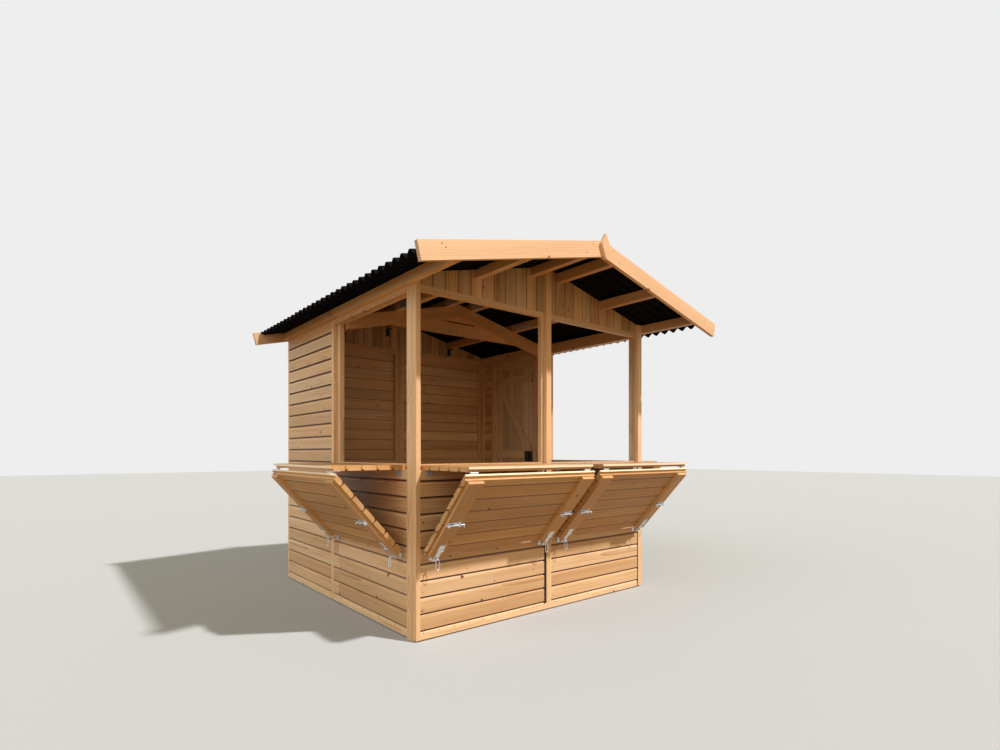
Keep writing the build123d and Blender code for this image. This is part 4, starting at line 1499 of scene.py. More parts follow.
def link_tree() -> bpy.types.NodeTree:
    """A tree that hangs a long wire link from every point.

    Returns:
        The tree.
    """
    tree, given = new_tree("wire_links", {"Length": "Float", "Width": "Float", "Wire": "Float"})
    outline = add(
        tree,
        "GeometryNodeCurvePrimitiveQuadrilateral",
        {"Width": given["Width"], "Height": given["Length"]},
        mode="RECTANGLE",
    ).outputs[0]
    bend = add(
        tree, "ShaderNodeMath", {0: given["Width"], 1: 0.49}, operation="MULTIPLY"
    ).outputs[0]
    rounded = add(
        tree,
        "GeometryNodeFilletCurve",
        {"Curve": outline, "Count": 6, "Radius": bend},
        mode="POLY",
    ).outputs[0]
    wire = add(
        tree, "GeometryNodeCurvePrimitiveCircle", {"Resolution": 8, "Radius": given["Wire"]}
    ).outputs[0]
    link = add(
        tree, "GeometryNodeCurveToMesh", {"Curve": rounded, "Profile Curve": wire}
    ).outputs[0]
    half = add(
        tree, "ShaderNodeMath", {0: given["Length"], 1: -0.5}, operation="MULTIPLY"
    ).outputs[0]
    drop = add(tree, "ShaderNodeCombineXYZ", {1: half}).outputs[0]
    hung = add(
        tree, "GeometryNodeTransform", {"Geometry": link, "Translation": drop}
    ).outputs[0]
    plumb = add(
        tree,
        "FunctionNodeAlignRotationToVector",
        {"Rotation": outward_turn(tree), "Vector": (0.0, 0.0, 1.0)},
        axis="Y",
        pivot_axis="Z",
    ).outputs[0]
    links = add(
        tree,
        "GeometryNodeInstanceOnPoints",
        {"Points": given["Geometry"], "Instance": hung, "Rotation": plumb},
    ).outputs[0]
    close_tree(tree, given, links)
    return tree


def wave_tree() -> bpy.types.NodeTree:
    """A tree that makes one corrugated sheet, from the ridge down.

    Returns:
        The tree.
    """
    tree, given = new_tree(
        "corrugated_sheet",
        {
            "Run": "Float",
            "Fall": "Float",
            "Wave": "Float",
            "Depth": "Float",
            "Slope": "Float",
            "Start": "Vector",
            "Turn": "Float",
            "Columns": "Int",
        },
    )
    sheet = add(
        tree,
        "GeometryNodeMeshGrid",
        {
            "Size X": given["Run"],
            "Size Y": given["Fall"],
            "Vertices X": given["Columns"],
            "Vertices Y": 9,
        },
    ).outputs[0]
    place = add(tree, "GeometryNodeInputPosition").outputs[0]
    across = add(tree, "ShaderNodeSeparateXYZ", {0: place}).outputs[0]
    half = add(
        tree, "ShaderNodeMath", {0: given["Run"], 1: 0.5, 2: across}, operation="MULTIPLY_ADD"
    ).outputs[0]
    waves = add(
        tree, "ShaderNodeMath", {0: half, 1: given["Wave"]}, operation="DIVIDE"
    ).outputs[0]
    turn = add(
        tree, "ShaderNodeMath", {0: waves, 1: math.tau}, operation="MULTIPLY"
    ).outputs[0]
    swing = add(tree, "ShaderNodeMath", {0: turn}, operation="SINE").outputs[0]
    lifted = add(tree, "ShaderNodeMath", {0: swing, 1: 1.0}).outputs[0]
    crest = add(
        tree, "ShaderNodeMath", {0: given["Depth"], 1: 0.5}, operation="MULTIPLY"
    ).outputs[0]
    height = add(tree, "ShaderNodeMath", {0: lifted, 1: crest}, operation="MULTIPLY").outputs[0]
    offset = add(tree, "ShaderNodeCombineXYZ", {2: height}).outputs[0]
    waved = add(
        tree, "GeometryNodeSetPosition", {"Geometry": sheet, "Offset": offset}
    ).outputs[0]
    fall_half = add(
        tree, "ShaderNodeMath", {0: given["Fall"], 1: -0.5}, operation="MULTIPLY"
    ).outputs[0]
    run_half = add(
        tree, "ShaderNodeMath", {0: given["Run"], 1: 0.5}, operation="MULTIPLY"
    ).outputs[0]
    corner = add(tree, "ShaderNodeCombineXYZ", {0: run_half, 1: fall_half}).outputs[0]
    cornered = add(
        tree, "GeometryNodeTransform", {"Geometry": waved, "Translation": corner}
    ).outputs[0]
    lean = add(tree, "ShaderNodeCombineXYZ", {0: given["Slope"]}).outputs[0]
    leaning = add(
        tree, "GeometryNodeTransform", {"Geometry": cornered, "Rotation": lean}
    ).outputs[0]
    heading = add(tree, "ShaderNodeCombineXYZ", {2: given["Turn"]}).outputs[0]
    placed = add(
        tree,
        "GeometryNodeTransform",
        {"Geometry": leaning, "Rotation": heading, "Translation": given["Start"]},
    ).outputs[0]
    close_tree(tree, given, placed)
    return tree


def add_box(shape: bmesh.types.BMesh, low: Point, high: Point) -> None:
    """Add a box to a mesh that is being made.

    Args:
        shape: The mesh.
        low: Its low corner.
        high: Its high corner.
    """
    middle = [(a + b) / 2 for a, b in zip(low, high)]
    size = [b - a for a, b in zip(low, high)]
    place = Matrix.Translation(middle) @ Matrix.Diagonal((*size, 1.0))
    bmesh.ops.create_cube(shape, size=1.0, matrix=place)


def box_piece(name: str, boxes: Iterable[tuple[Point, Point]], eased: float) -> bpy.types.Object:
    """Make strips of wood or foam with eased edges.

    Args:
        name: The name of the piece.
        boxes: The low and high corner of each strip.
        eased: The width of the eased edges.

    Returns:
        The object.
    """
    shape = bmesh.new()
    for low, high in boxes:
        add_box(shape, low, high)
    piece = mesh_piece(name, [], [])
    shape.to_mesh(piece.data)
    shape.free()
    bevel = piece.modifiers.new("eased_edges", "BEVEL")
    bevel.width = eased
    bevel.segments = 2
    return piece


@dataclass(frozen=True)
class Heads:
    """Nails, screws or caps of one size, which stand on given points."""

    radius: float
    height: float
    recess: float = 0.0004  # half the length of the crossed slots
    sides: int = 10
    seed: int = 4
    crown: float = 0.62  # width of the top as a share of the foot
    lift: float = 0.35  # of the middle of a head above the face, as a share of its height

    def stand(
        self,
        name: str,
        places: list[tuple[Point, Point]],
        tree: bpy.types.NodeTree,
        finish: bpy.types.Material,
        rides: tuple[str, str],
    ) -> None:
        """Make the heads as one piece.

        Args:
            name: The name of the piece.
            places: A point on the surface and the way out from it, for each head.
            tree: The tree that makes heads.
            finish: The material.
            rides: The body that carries them, and a slot name that is not used.
        """
        lifted = [
            tuple(x + way * self.height * self.lift for x, way in zip(point, facing))
            for point, facing in places
        ]
        piece = mesh_piece(name, lifted, [], [facing for _, facing in places])
        grow(
            piece,
            tree,
            {
                "Radius": self.radius,
                "Height": self.height,
                "Crown": self.crown,
                "Recess": self.recess,
                "Sides": self.sides,
                "Seed": self.seed,
                "Finish": finish,
            },
        )
        body, slot = rides
        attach(piece, body)
        LOG.info("%s: %d", name, len(places))


# Sub-assemblies


@dataclass
class Walls:
    """Frames, corner posts, shiplap, gables and trims of the four walls."""

    frame: dict
    finishes: Finishes
    nails: Heads = Heads(0.0032, 0.001)
    nail_edge: float = 0.022  # from the end of a board
    board_nail: float = 0.024  # up from the lower edge of a board
    skirt_nail: float = 0.0445  # under the groove of the lowest joint
    gaps: tuple[tuple[float, float, float], ...] = (
        # left edge of a trim, gap beside it, foot of the gap
        (-0.0225, 0.022, 0.047),
        (0.985, 0.012, 0.012),
    )
    gap_top: float = 0.948  # under the counters
    gap_recess: float = 0.0008
    strip_eased: float = 0.0002
    near: float = 0.001  # how close a corner of a board lies to the trim beside it
    skirt_step: float = 0.1144  # one nail to each floor board
    cover: float = 0.093
    first_joint: float = 0.062
    panels: tuple[tuple[Wall, Pair, int], ...] = (
        # wall, run of its boards, and how many boards there are
        (Wall.FRONT, (-1.004, -0.0225), 10),
        (Wall.FRONT, (0.0225, 0.985), 10),
        (Wall.REAR, (-0.985, -0.0225), 22),
        (Wall.REAR, (0.0225, 0.985), 22),
        (Wall.LEFT, (-0.936, 0.085), 10),
        (Wall.LEFT, (0.130, 1.014), 22),
        (Wall.RIGHT, (-0.936, -0.035), 10),
        (Wall.RIGHT, (0.010, 0.157), 20),
        (Wall.RIGHT, (0.743, 1.014), 20),
    )

    def build(self, heads: bpy.types.NodeTree) -> None:
        """Dress the walls and nail their boards.

        Args:
            heads: The tree that makes heads.
        """
        for which, lay, names in (
            ("shiplap", Lay.WALL_X, ("front_cladding", "rear_cladding")),
            ("shiplap", Lay.WALL_Y, ("left_cladding", "right_cladding", "door_head_cladding")),
            ("gable", Lay.UP_X, ("front_gable", "rear_gable")),
            ("spruce", Lay.RUN_X, ("front_rails", "rear_rails")),
            ("spruce", Lay.RUN_Y, ("side_rails",)),
            ("spruce", Lay.UP_X, ("front_stiles", "rear_stiles")),
            ("spruce", Lay.UP_Y, ("side_stiles",)),
            ("trim", Lay.UP_X, ("front_trims", "rear_trims", "corner_posts")),
            ("trim", Lay.UP_Y, ("side_trims",)),
        ):
            dress(self.frame, names, self.finishes.timber(which, lay))
        for kind, finish in (("skirt", "nail"), ("board", "pin")):
            self.nails.stand(
                f"{kind}_nails",
                self.nail_places(kind == "skirt"),
                heads,
                self.finishes.plain(finish),
                (STALL, "black_steel"),
            )
        self.gapped_boards()

    def gapped_boards(self) -> None:
        """The front boards, cut short beside two trims, with dark strips of painted shade in the
        gaps.
        """
        shape = bmesh.new()
        shape.from_mesh(self.frame["nodes"]["front_cladding"].data)
        for point in shape.verts:
            for edge, gap, _ in self.gaps:
                if abs(point.co.x - edge) < self.near:
                    point.co.x = edge - gap
        piece = mesh_piece("front_cladding_gapped", [], [])
        shape.to_mesh(piece.data)
        shape.free()
        piece.data.materials.append(self.finishes.timber("shiplap", Lay.WALL_X))
        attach(piece, STALL)
        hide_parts("front_cladding")
        face, back = -HALF_DEPTH + self.gap_recess, -HALF_DEPTH + BOARD
        strips = box_piece(
            "painted_gap_shade_strips",
            [
                ((edge - gap, face, foot), (edge, back, self.gap_top))
                for edge, gap, foot in self.gaps
            ],
            self.strip_eased,
        )
        # Dark strips of painted shade in the gaps.
        strips.data.materials.append(self.finishes.plain("seal"))
        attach(strips, STALL)
        LOG.info("front boards with their gaps")

    def nail_places(self, skirt: bool) -> list[tuple[Point, Point]]:
        """Where the nails of the level boards stand.

        Args:
            skirt: Whether those of the skirt board are asked for, or the others.

        Returns:
            For each nail its point, and the direction that it faces.
        """
        places = []
        for wall, (start, end), boards in self.panels:
            steps = max(1, round((end - start) / self.skirt_step)) if skirt else -1
            for step in range(steps + 1):
                run = start + self.nail_edge + (end - start - 2 * self.nail_edge) * step / steps
                places.append((wall.at(run, 0.0, self.skirt_nail), wall.toward(1.0, 0.0)))
            for board in range(1, 1 if skirt else boards):
                height = self.first_joint + self.cover * (board - 1) + self.board_nail
                for run in (start + self.nail_edge, end - self.nail_edge):
                    places.append((wall.at(run, 0.0, height), wall.toward(1.0, 0.0)))
        return places


@dataclass
class Hatches:
    """The four fold-down counters with their flaps, battens and steel."""

    frame: dict
    finishes: Finishes
    screws: Heads = Heads(0.0036, 0.0016, 0.0017)
    link_length: float = 0.058
    link_width: float = 0.022
    wire: float = 0.002
    link_lift: float = 0.0012  # of a link's upper end above the middle of its eye
    eye_reach: float = 0.071
    eye_height: float = 0.4605
    eye_screws: Pair = (0.0085, 0.0105)  # aside and up or down from the eye
    hasp_screws: tuple[Pair, Pair] = ((-0.012, 0.012), (0.499, 0.519))  # aside, down the flap
    bolt_screws: tuple[Pair, Pair] = ((-0.019, 0.024), (0.3125, 0.3315))
    bolt_shift: float = 0.010  # of the bolt from the middle of its batten
    hinge_screws: tuple[Pair, ...] = ((-0.017, 0.937), (0.0, 0.930), (0.017, 0.937))
    leaf_face: float = 0.0025  # how far the steel on the walls stands out from the boards
    flap_steel: float = 0.0485  # the same through a flap, on its battens
    battens: tuple[tuple[Wall, float, int], ...] = (
        # wall, middle of the batten, and which way the middle of the flap lies
        (Wall.FRONT, -0.936, 1),
        (Wall.FRONT, -0.0905, -1),
        (Wall.FRONT, 0.0905, 1),
        (Wall.FRONT, 0.917, -1),
        (Wall.LEFT, 0.017, -1),
        (Wall.LEFT, -0.868, 1),
        (Wall.RIGHT, -0.868, 1),
        (Wall.RIGHT, -0.103, -1),
    )
    hinges: tuple[tuple[Wall, float], ...] = (
        # wall, middle of the hinge
        (Wall.FRONT, -0.942),
        (Wall.FRONT, -0.089),
        (Wall.FRONT, 0.089),
        (Wall.FRONT, 0.942),
        (Wall.LEFT, -0.848),
        (Wall.LEFT, -0.004),
        (Wall.RIGHT, -0.848),
        (Wall.RIGHT, -0.124),
    )

    def build(self, links: bpy.types.NodeTree, heads: bpy.types.NodeTree) -> None:
        """Dress the counters and flaps, hang the wire links and screw the steel on.

        Args:
            links: The tree that makes links.
            heads: The tree that makes heads.
        """
        for which, lay, name in (
            ("counter", Lay.COUNTER, "counters"),
            ("flap", Lay.FLAP, "flaps"),
            ("batten", Lay.BATTEN, "flap_battens"),
        ):
            dress(self.frame, (name,), self.finishes.timber(which, lay))
        dress(
            self.frame,
            ("flap_hinges", "sill_hinges", "flap_bolts", "flap_hasps", "hasp_staples"),
            self.finishes.plain("zinc"),
        )
        hung_at = self.eye_height + self.link_lift
        points = [wall.at(run, self.eye_reach, hung_at) for wall, run, _ in self.battens]
        facing = [wall.toward(1.0, 0.0) for wall, _, _ in self.battens]
        wires = mesh_piece("staple_links", points, [], facing)
        grow(
            wires,
            links,
            {
                "Length": self.link_length,
                "Width": self.link_width,
                "Wire": self.wire,
                "Finish": self.finishes.plain("zinc"),
            },
        )
        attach(wires, STALL)
        LOG.info("%d wire links", len(points))
        self.screws.stand(
            "hatch_screws",
            self.screw_places(),
            heads,
            self.finishes.plain("zinc"),
            (STALL, "galvanised_steel"),
        )

    def screw_places(self) -> list[tuple[Point, Point]]:
        """Where the screws of the hasps, bolts, staples and sill hinges stand.

        Returns:
            For each screw its point, and the direction that it faces.
        """
        places = []
        alongs, downs = self.bolt_screws
        eye_aside, eye_up = self.eye_screws
        for wall, middle, inner in self.battens:
            off_flap = wall.toward(math.sin(FLAP_LEAN), -math.cos(FLAP_LEAN))
            on_flap = list(product(*self.hasp_screws))
            for along, down in product(alongs, downs):
                on_flap.append((-inner * self.bolt_shift + inner * along, down))
            for aside, down in on_flap:
                places.append((wall.on_flap(middle + aside, down, self.flap_steel), off_flap))
            for aside, up in product((-eye_aside, eye_aside), (-eye_up, eye_up)):
                point = wall.at(middle + aside, self.leaf_face, self.eye_height + up)
                places.append((point, wall.toward(1.0, 0.0)))
        for wall, middle in self.hinges:
            for aside, height in self.hinge_screws:
                point = wall.at(middle + aside, self.leaf_face, height)
                places.append((point, wall.toward(1.0, 0.0)))
        return places


@dataclass
class Roof:
    """Corrugated sheets, purlins, truss, barge boards and finials."""

    frame: dict
    finishes: Finishes
    wave: float = 0.078875
    waves: int = 32
    sheet_waves: tuple[tuple[int, int], ...] = ((0, 11), (10, 12), (21, 11))  # first, number
    wave_points: int = 10
    crest: float = 0.25  # where in a wave its crest lies
    depth: float = 0.031
    thickness: float = 0.003
    ridge_rise: float = 0.0048  # of the top of the ridge cap, over the crests' undersides
    fall: float = 1.2806
    front: float = -1.484
    rear: float = 1.040
    gable_face: float = 0.994  # inner faces of the gable boards, front and rear
    purlin_width: float = 0.045
    purlin_drop: float = 0.052  # from the sheets' underside to that of a purlin, outer edge
    plate: Point = (0.175, 0.046, 0.002)  # length, height and thickness
    plate_run: float = -0.168
    plate_offsets: Pair = (0.553, 0.098)  # from the ridge to the near face of a purlin
    hole_radius: float = 0.0055
    hole_step: float = 0.026
    hole_columns: int = 6
    hole_rows: int = 2
    splice_nails: Heads = Heads(0.0052, 0.0018, 0.0003, 8)
    caps: Heads = Heads(0.012, 0.007, 0.0004, 12, 9)
    cap_rows: tuple[float, ...] = (0.1205, 0.5755, 1.0525)  # from the ridge, over each purlin
    screws: Heads = Heads(0.0045, 0.0022, 0.0018)
    bracket_leaf: float = 0.002
    bracket_steps: Pair = (0.022, 0.050)  # from the corner of a bracket to its screws
    barge_faces: Pair = (-1.510, 1.066)  # outer faces of the front and the rear boards
    barge_top: float = 0.032  # above the underside of the sheets
    barge_nails: Heads = Heads(0.0036, 0.0009, 0.0004)
    barge_points: tuple[Pair, ...] = (
        # out from the ridge, and down from the top edge
        (0.096, 0.020),
        (0.150, 0.070),
        (1.150, 0.037),
        (1.172, 0.018),
    )

    def build(
        self,
        waves: bpy.types.NodeTree,
        plates: bpy.types.NodeTree,
        heads: bpy.types.NodeTree,
    ) -> None:
        """Dress the roof and make its sheets, punched plates, caps and screws.

        Args:
            waves: The tree that makes a corrugated sheet.
            plates: The tree that makes punched plates.
            heads: The tree that makes heads.
        """
        for which, lay, names in (
            ("purlin", Lay.RUN_Y, ("eave_purlins", "roof_purlins")),
            ("purlin", Lay.RUN_X, ("truss_collar", "truss_gusset")),
            ("purlin", Lay.PITCH, ("truss_rafters",)),
            ("barge", Lay.PITCH, ("front_barge_boards", "rear_barge_boards")),
            ("barge", Lay.UP_X, ("finials",)),
        ):
            dress(self.frame, names, self.finishes.timber(which, lay))
        dress(
            self.frame,
            ("ridge_cap", "roof_sheet_left", "roof_sheet_right"),
            self.finishes.plain("bitumen"),
        )
        dress(self.frame, ("purlin_brackets",), self.finishes.plain("coat"))
        for side in (-1, 1):
            self.sheets(side, waves)
        self.splices(plates, heads)
        for kind, name, places, finish, slot in (
            (self.barge_nails, "barge_nails", self.barge_nail_places(), "nail", "black_steel"),
            (self.caps, "roof_fixing_caps", self.cap_places(), "cap", "bitumen_sheet"),
            (self.screws, "bracket_screws", self.bracket_screw_places(), "coat", "black_steel"),
        ):
            kind.stand(name, places, heads, self.finishes.plain(finish), (STALL, slot))

    def barge_nail_places(self) -> list[tuple[Point, Point]]:
        """Where the barge boards are nailed: two nails near each end of a board.

        Returns:
            For each nail its point, and the direction that it faces.
        """
        places = []
        for face in self.barge_faces:
            facing = (0.0, math.copysign(1.0, face), 0.0)
            for side in (-1, 1):
                for across, down in self.barge_points:
                    top = RIDGE_HEIGHT - across * math.tan(SLOPE) + self.barge_top
                    places.append(((side * across, face, top - down), facing))
        return places

    def cap_places(self) -> list[tuple[Point, Point]]:
        """Where the capped nails stand: on every second crest, over each purlin.

        Returns:
            For each cap its point, and the direction that it faces.
        """
        places = []
        lap_start, lap_count = self.sheet_waves[1]
        for side in (-1, 1):
            first = self.rear if side < 0 else self.front
            facing = (side * math.sin(SLOPE), 0.0, math.cos(SLOPE))
            for row, offset in enumerate(self.cap_rows):
                for wave in range(row % 2, self.waves, 2):
                    lapped = self.thickness if 0 <= wave - lap_start < lap_count else 0.0
                    level = self.depth + self.thickness + lapped
                    if row == 0:
                        level = self.depth + self.ridge_rise
                    run = first + side * (wave + self.crest) * self.wave
                    x = side * (offset + math.sin(SLOPE) * level)
                    z = RIDGE_HEIGHT - math.tan(SLOPE) * offset + math.cos(SLOPE) * level
                    places.append(((x, run, z), facing))
        return places

    def bracket_screw_places(self) -> list[tuple[Point, Point]]:
        """Where the screws of the purlin brackets stand, two in each leg.

        Returns:
            For each screw its point, and the direction that it faces.
        """
        places = []
        leaf = self.bracket_leaf
        for offset in self.cap_rows[:2]:
            outer_edge = offset + self.purlin_width / 2
            seat = RIDGE_HEIGHT - math.tan(SLOPE) * outer_edge - self.purlin_drop
            for side, end, step in product((-1, 1), (-1, 1), self.bracket_steps):
                down = (side * offset, end * (self.gable_face - leaf), seat - step)
                places.append((down, (0.0, -float(end), 0.0)))
                under = (side * offset, end * (self.gable_face - step), seat - leaf)
                places.append((under, (0.0, 0.0, -1.0)))
        return places

    def sheets(self, side: int, waves: bpy.types.NodeTree) -> None:
        """The sheets of one slope, the middle one lapped over its neighbours by a wave.

        Args:
            side: -1 for the left slope and 1 for the right one.
            waves: The tree that makes a corrugated sheet.
        """
        start = self.rear if side < 0 else self.front
        name = "left" if side < 0 else "right"
        made = []
        for number, (first, count) in enumerate(self.sheet_waves):
            piece = mesh_piece(f"roof_sheet_{name}_{first}", [(0.0, 0.0, 0.0)], [])
            along = start + side * first * self.wave
            lift = self.thickness if number == 1 else 0.0
            grow(
                piece,
                waves,
                {
                    "Run": count * self.wave,
                    "Fall": self.fall,
                    "Wave": self.wave,
                    "Depth": self.depth,
                    "Slope": SLOPE,
                    "Turn": side * math.pi / 2,
                    "Start": (0.0, along, RIDGE_HEIGHT + lift),
                    "Columns": count * self.wave_points + 1,
                    "Finish": self.finishes.plain("bitumen"),
                },
            )
            made.append(piece)
        for piece in made:
            shell = piece.modifiers.new("thickness", "SOLIDIFY")
            shell.thickness = self.thickness
            shell.offset = 1.0
            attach(piece, STALL)
        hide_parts(f"roof_sheet_{name}")
        LOG.info("three sheets on the %s slope", name)

    def splices(self, plates: bpy.types.NodeTree, heads: bpy.types.NodeTree) -> None:
        """Punched plates over the joints of the purlins, nailed through their holes.

        Args:
            plates: The tree that makes punched plates.
            heads: The tree that makes heads.
        """
        length, height, thickness = self.plate
        points = []
        for offset in self.plate_offsets:
            far_face = offset + self.purlin_width
            under = RIDGE_HEIGHT - math.tan(SLOPE) * far_face - self.purlin_drop
            for face in (-far_face, offset):
                points.append((face - thickness / 2, self.plate_run, under + height / 2))
        piece = mesh_piece("punched_splice_plates", points, [], [(-1.0, 0.0, 0.0)] * len(points))
        grow(
            piece,
            plates,
            {
                "Length": length,
                "Height": height,
                "Thickness": thickness,
                "Hole radius": self.hole_radius,
                "Hole step": self.hole_step,
                "Columns": self.hole_columns,
                "Rows": self.hole_rows,
                "Finish": self.finishes.plain("galvanised"),
            },
        )
        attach(piece, STALL)
        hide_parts("purlin_plates")
        nails = []
        for x, run, level in points:
            for column, row in product(range(self.hole_columns), range(self.hole_rows)):
                aside = (column - (self.hole_columns - 1) / 2) * self.hole_step
                up = (row - (self.hole_rows - 1) / 2) * self.hole_step
                nails.append(((x - thickness / 2, run + aside, level + up), (-1.0, 0.0, 0.0)))
        self.splice_nails.stand(
            "splice_nails", nails, heads, self.finishes.plain("nail"), (STALL, "galvanised_steel")
        )


@dataclass
class Base:
    """Bearers and floor boards."""

    frame: dict
    finishes: Finishes

    def build(self) -> None:
        """Dress the floor."""
        dress(self.frame, ("floor_deck",), self.finishes.timber("deck", Lay.DECK))
        dress(self.frame, ("floor_bearers",), self.finishes.timber("bearer", Lay.RUN_X))


@dataclass
class SideDoor:
    """The ledged and braced door with its straps, latch and knob."""

    frame: dict
    finishes: Finishes
    strap_screws: Heads = Heads(0.0055, 0.0028, 0.0002, 8, 3)
    strap_levels: Pair = (0.180, 1.670)
    strap_runs: tuple[float, ...] = (0.468, 0.548, 0.628, 0.700)  # screws along a strap
    plate_run: float = 0.766
    plate_rises: tuple[float, ...] = (-0.020, 0.0, 0.020)
    strap_face: float = 0.003
    doorway: Pair = (0.157, 0.743)
    doorway_levels: Pair = (0.062, 1.900)
    stop_reach: Pair = (0.984, 1.003)
    stop_width: float = 0.018
    stop_eased: float = 0.0015
    lever: tuple[Point, ...] = (
        # down through the neck to the end of the grip
        (0.964, 0.205, 1.044),
        (0.945, 0.205, 1.040),
        (0.941, 0.205, 0.984),
    )
    lever_radius: float = 0.0065

    def build(self, heads: bpy.types.NodeTree) -> None:
        """Dress the door and its steel, and make its screws, lever and stops.

        Args:
            heads: The tree that makes heads.
        """
        dress(self.frame, ("door_leaf",), self.finishes.timber("door", Lay.UP_Y))
        dress(self.frame, ("door_ledges",), self.finishes.timber("spruce", Lay.LEDGE))
        dress(
            self.frame,
            ("door_straps", "door_hinge_plates", "door_latch", "door_knob"),
            self.finishes.plain("coat"),
        )
        on_door, on_wall = [], []
        for level in self.strap_levels:
            for run in self.strap_runs:
                on_door.append((Wall.RIGHT.at(run, self.strap_face, level), (1.0, 0.0, 0.0)))
            for rise in self.plate_rises:
                point = Wall.RIGHT.at(self.plate_run, self.strap_face, level + rise)
                on_wall.append((point, (1.0, 0.0, 0.0)))
        coat = self.finishes.plain("coat")
        self.strap_screws.stand("door_strap_bolts", on_door, heads, coat, (DOOR, "black_steel"))
        self.strap_screws.stand("door_plate_bolts", on_wall, heads, coat, (STALL, "black_steel"))
        self.stops()
        self.latch_lever()

    def stops(self) -> None:
        """Strips on the frame that the door shuts against, on three sides."""
        near, far = self.stop_reach
        start, end = self.doorway
        foot, head = self.doorway_levels
        width = self.stop_width
        strips = (
            ((near, start, foot), (far, start + width, head)),
            ((near, end - width, foot), (far, end, head)),
            ((near, start + width, head - width), (far, end - width, head)),
        )
        piece = box_piece("door_stops", strips, self.stop_eased)
        piece.data.materials.append(self.finishes.timber("spruce", Lay.UP_Y))
        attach(piece, STALL)
        LOG.info("stops round the door")

    def latch_lever(self) -> None:
        """The lever on the inside of the latch: a short neck and a hanging grip."""
        curve = bpy.data.curves.new("door_latch_lever", "CURVE")
        curve.dimensions = "3D"
        curve.bevel_depth = self.lever_radius
        curve.bevel_resolution = 3
        curve.use_fill_caps = True
        run = curve.splines.new("BEZIER")
        run.bezier_points.add(len(self.lever) - 1)
        for point, place in zip(run.bezier_points, self.lever):
            point.co = place
            point.handle_left_type = point.handle_right_type = "AUTO"
        piece = bpy.data.objects.new("door_latch_lever", curve)
        bpy.context.scene.collection.objects.link(piece)
        curve.materials.append(self.finishes.plain("coat"))
        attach(piece, DOOR)
        LOG.info("lever on the latch")


@dataclass(frozen=True)
class Lamp:
    """A far lamp. Its place and softness are in degrees."""

    name: str
    colour: str
    level: float
    aside: float  # to the right of the front
    height: float
    softness: float  # how wide it looks from the stall

    def hang(self) -> None:
        """Hang the lamp in the scene."""
        data = bpy.data.lights.new(self.name, "SUN")
        data.energy = self.level
        data.color = to_linear(self.colour)[:3]
        data.angle = math.radians(self.softness)
        lamp = bpy.data.objects.new(self.name, data)
        lamp.rotation_euler = (math.radians(90.0 - self.height), 0.0, math.radians(self.aside))
        bpy.context.scene.collection.objects.link(lamp)


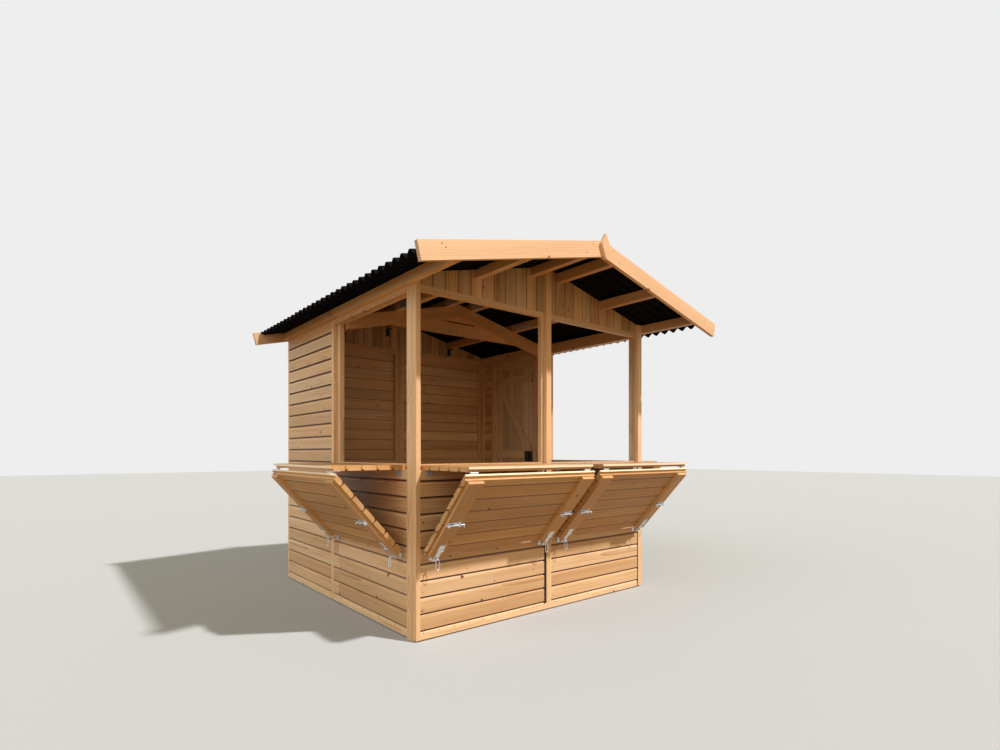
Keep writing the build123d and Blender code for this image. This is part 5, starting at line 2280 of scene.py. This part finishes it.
@dataclass
class Studio:
    """Camera, floor and light."""

    eye: Point = (-2.6098, -3.6740, 1.0529)
    heading: float = 39.642  # degrees from +Y towards +X
    lens: float = 19.747  # millimetres, for a picture as wide as the sensor
    sensor: float = 36.0
    rise: float = 0.0779  # how far the picture is shifted up, as a share of its width
    floor_size: float = 60.0
    floor_seen: str = "#B1B2B3"
    floor_light: str = "#7C6234"
    floor_roughness: float = 0.9
    sky_seen: str = "#EDEEED"
    sky_light: str = "#F4DDAC"
    sky_level: float = 0.42
    lamps: tuple[Lamp, ...] = (
        Lamp("sun", "#FBFAF8", 4.3, 28.0, 48.0, 2.5),
        Lamp("fill", "#DFF1F9", 1.62, -82.0, 29.0, 60.0),
        Lamp("front_fill", "#FFE8C6", 0.34, -22.0, 9.0, 40.0),
    )

    def camera(self) -> None:
        """Stand the camera where the picture is taken from."""
        data = bpy.data.cameras.new("camera")
        data.lens = self.lens
        data.sensor_width = self.sensor
        data.shift_y = self.rise
        camera = bpy.data.objects.new("camera", data)
        camera.location = self.eye
        camera.rotation_euler = (math.pi / 2, 0.0, -math.radians(self.heading))
        bpy.context.scene.collection.objects.link(camera)
        bpy.context.scene.camera = camera

    def build(self) -> None:
        """Lay the floor and set the light."""
        self.floor()
        for lamp in self.lamps:
            lamp.hang()
        self.sky()
        settings = bpy.context.scene.view_settings
        settings.view_transform = "Standard"

    def floor(self) -> None:
        """A plain floor: pale to the eye, and duller in the light that it throws up."""
        half = self.floor_size / 2
        corners = [(-half, -half, 0.0), (half, -half, 0.0), (half, half, 0.0), (-half, half, 0.0)]
        floor = mesh_piece("floor", corners, [(0, 1, 2, 3)])
        material, tree = new_material("plain_floor")
        light, look = (
            add(
                tree,
                "ShaderNodeBsdfPrincipled",
                {"Base Color": to_linear(colour), "Roughness": self.floor_roughness},
            ).outputs[0]
            for colour in (self.floor_light, self.floor_seen)
        )
        mixed = add(
            tree, "ShaderNodeMixShader", {0: seen_directly(tree), 1: light, 2: look}
        ).outputs[0]
        add(tree, "ShaderNodeOutputMaterial", {"Surface": mixed})
        floor.data.materials.append(material)

    def sky(self) -> None:
        """An even sky: one colour to the eye and in gloss, another as light."""
        world = bpy.data.worlds.new("sky")
        world.use_nodes = True
        tree = world.node_tree
        tree.nodes.clear()
        light = add(
            tree,
            "ShaderNodeBackground",
            {"Color": to_linear(self.sky_light), "Strength": self.sky_level},
        ).outputs[0]
        backdrop = add(
            tree, "ShaderNodeBackground", {"Color": to_linear(self.sky_seen), "Strength": 1.0}
        ).outputs[0]
        mixed = add(
            tree, "ShaderNodeMixShader", {0: seen_directly(tree), 1: light, 2: backdrop}
        ).outputs[0]
        add(tree, "ShaderNodeOutputWorld", {"Surface": mixed})
        bpy.context.scene.world = world


def main() -> None:
    """Build the scene piece by piece."""
    logging.basicConfig(level=logging.INFO, format="%(name)s: %(message)s")
    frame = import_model()
    studio = Studio()
    studio.camera()
    finishes = Finishes()
    heads = heads_tree()
    Base(frame, finishes).build()
    Walls(frame, finishes).build(heads)
    Hatches(frame, finishes).build(link_tree(), heads)
    Roof(frame, finishes).build(wave_tree(), plate_tree(), heads)
    SideDoor(frame, finishes).build(heads)
    studio.build()
    LOG.info("boxes written")


if __name__ == "__main__":
    main()
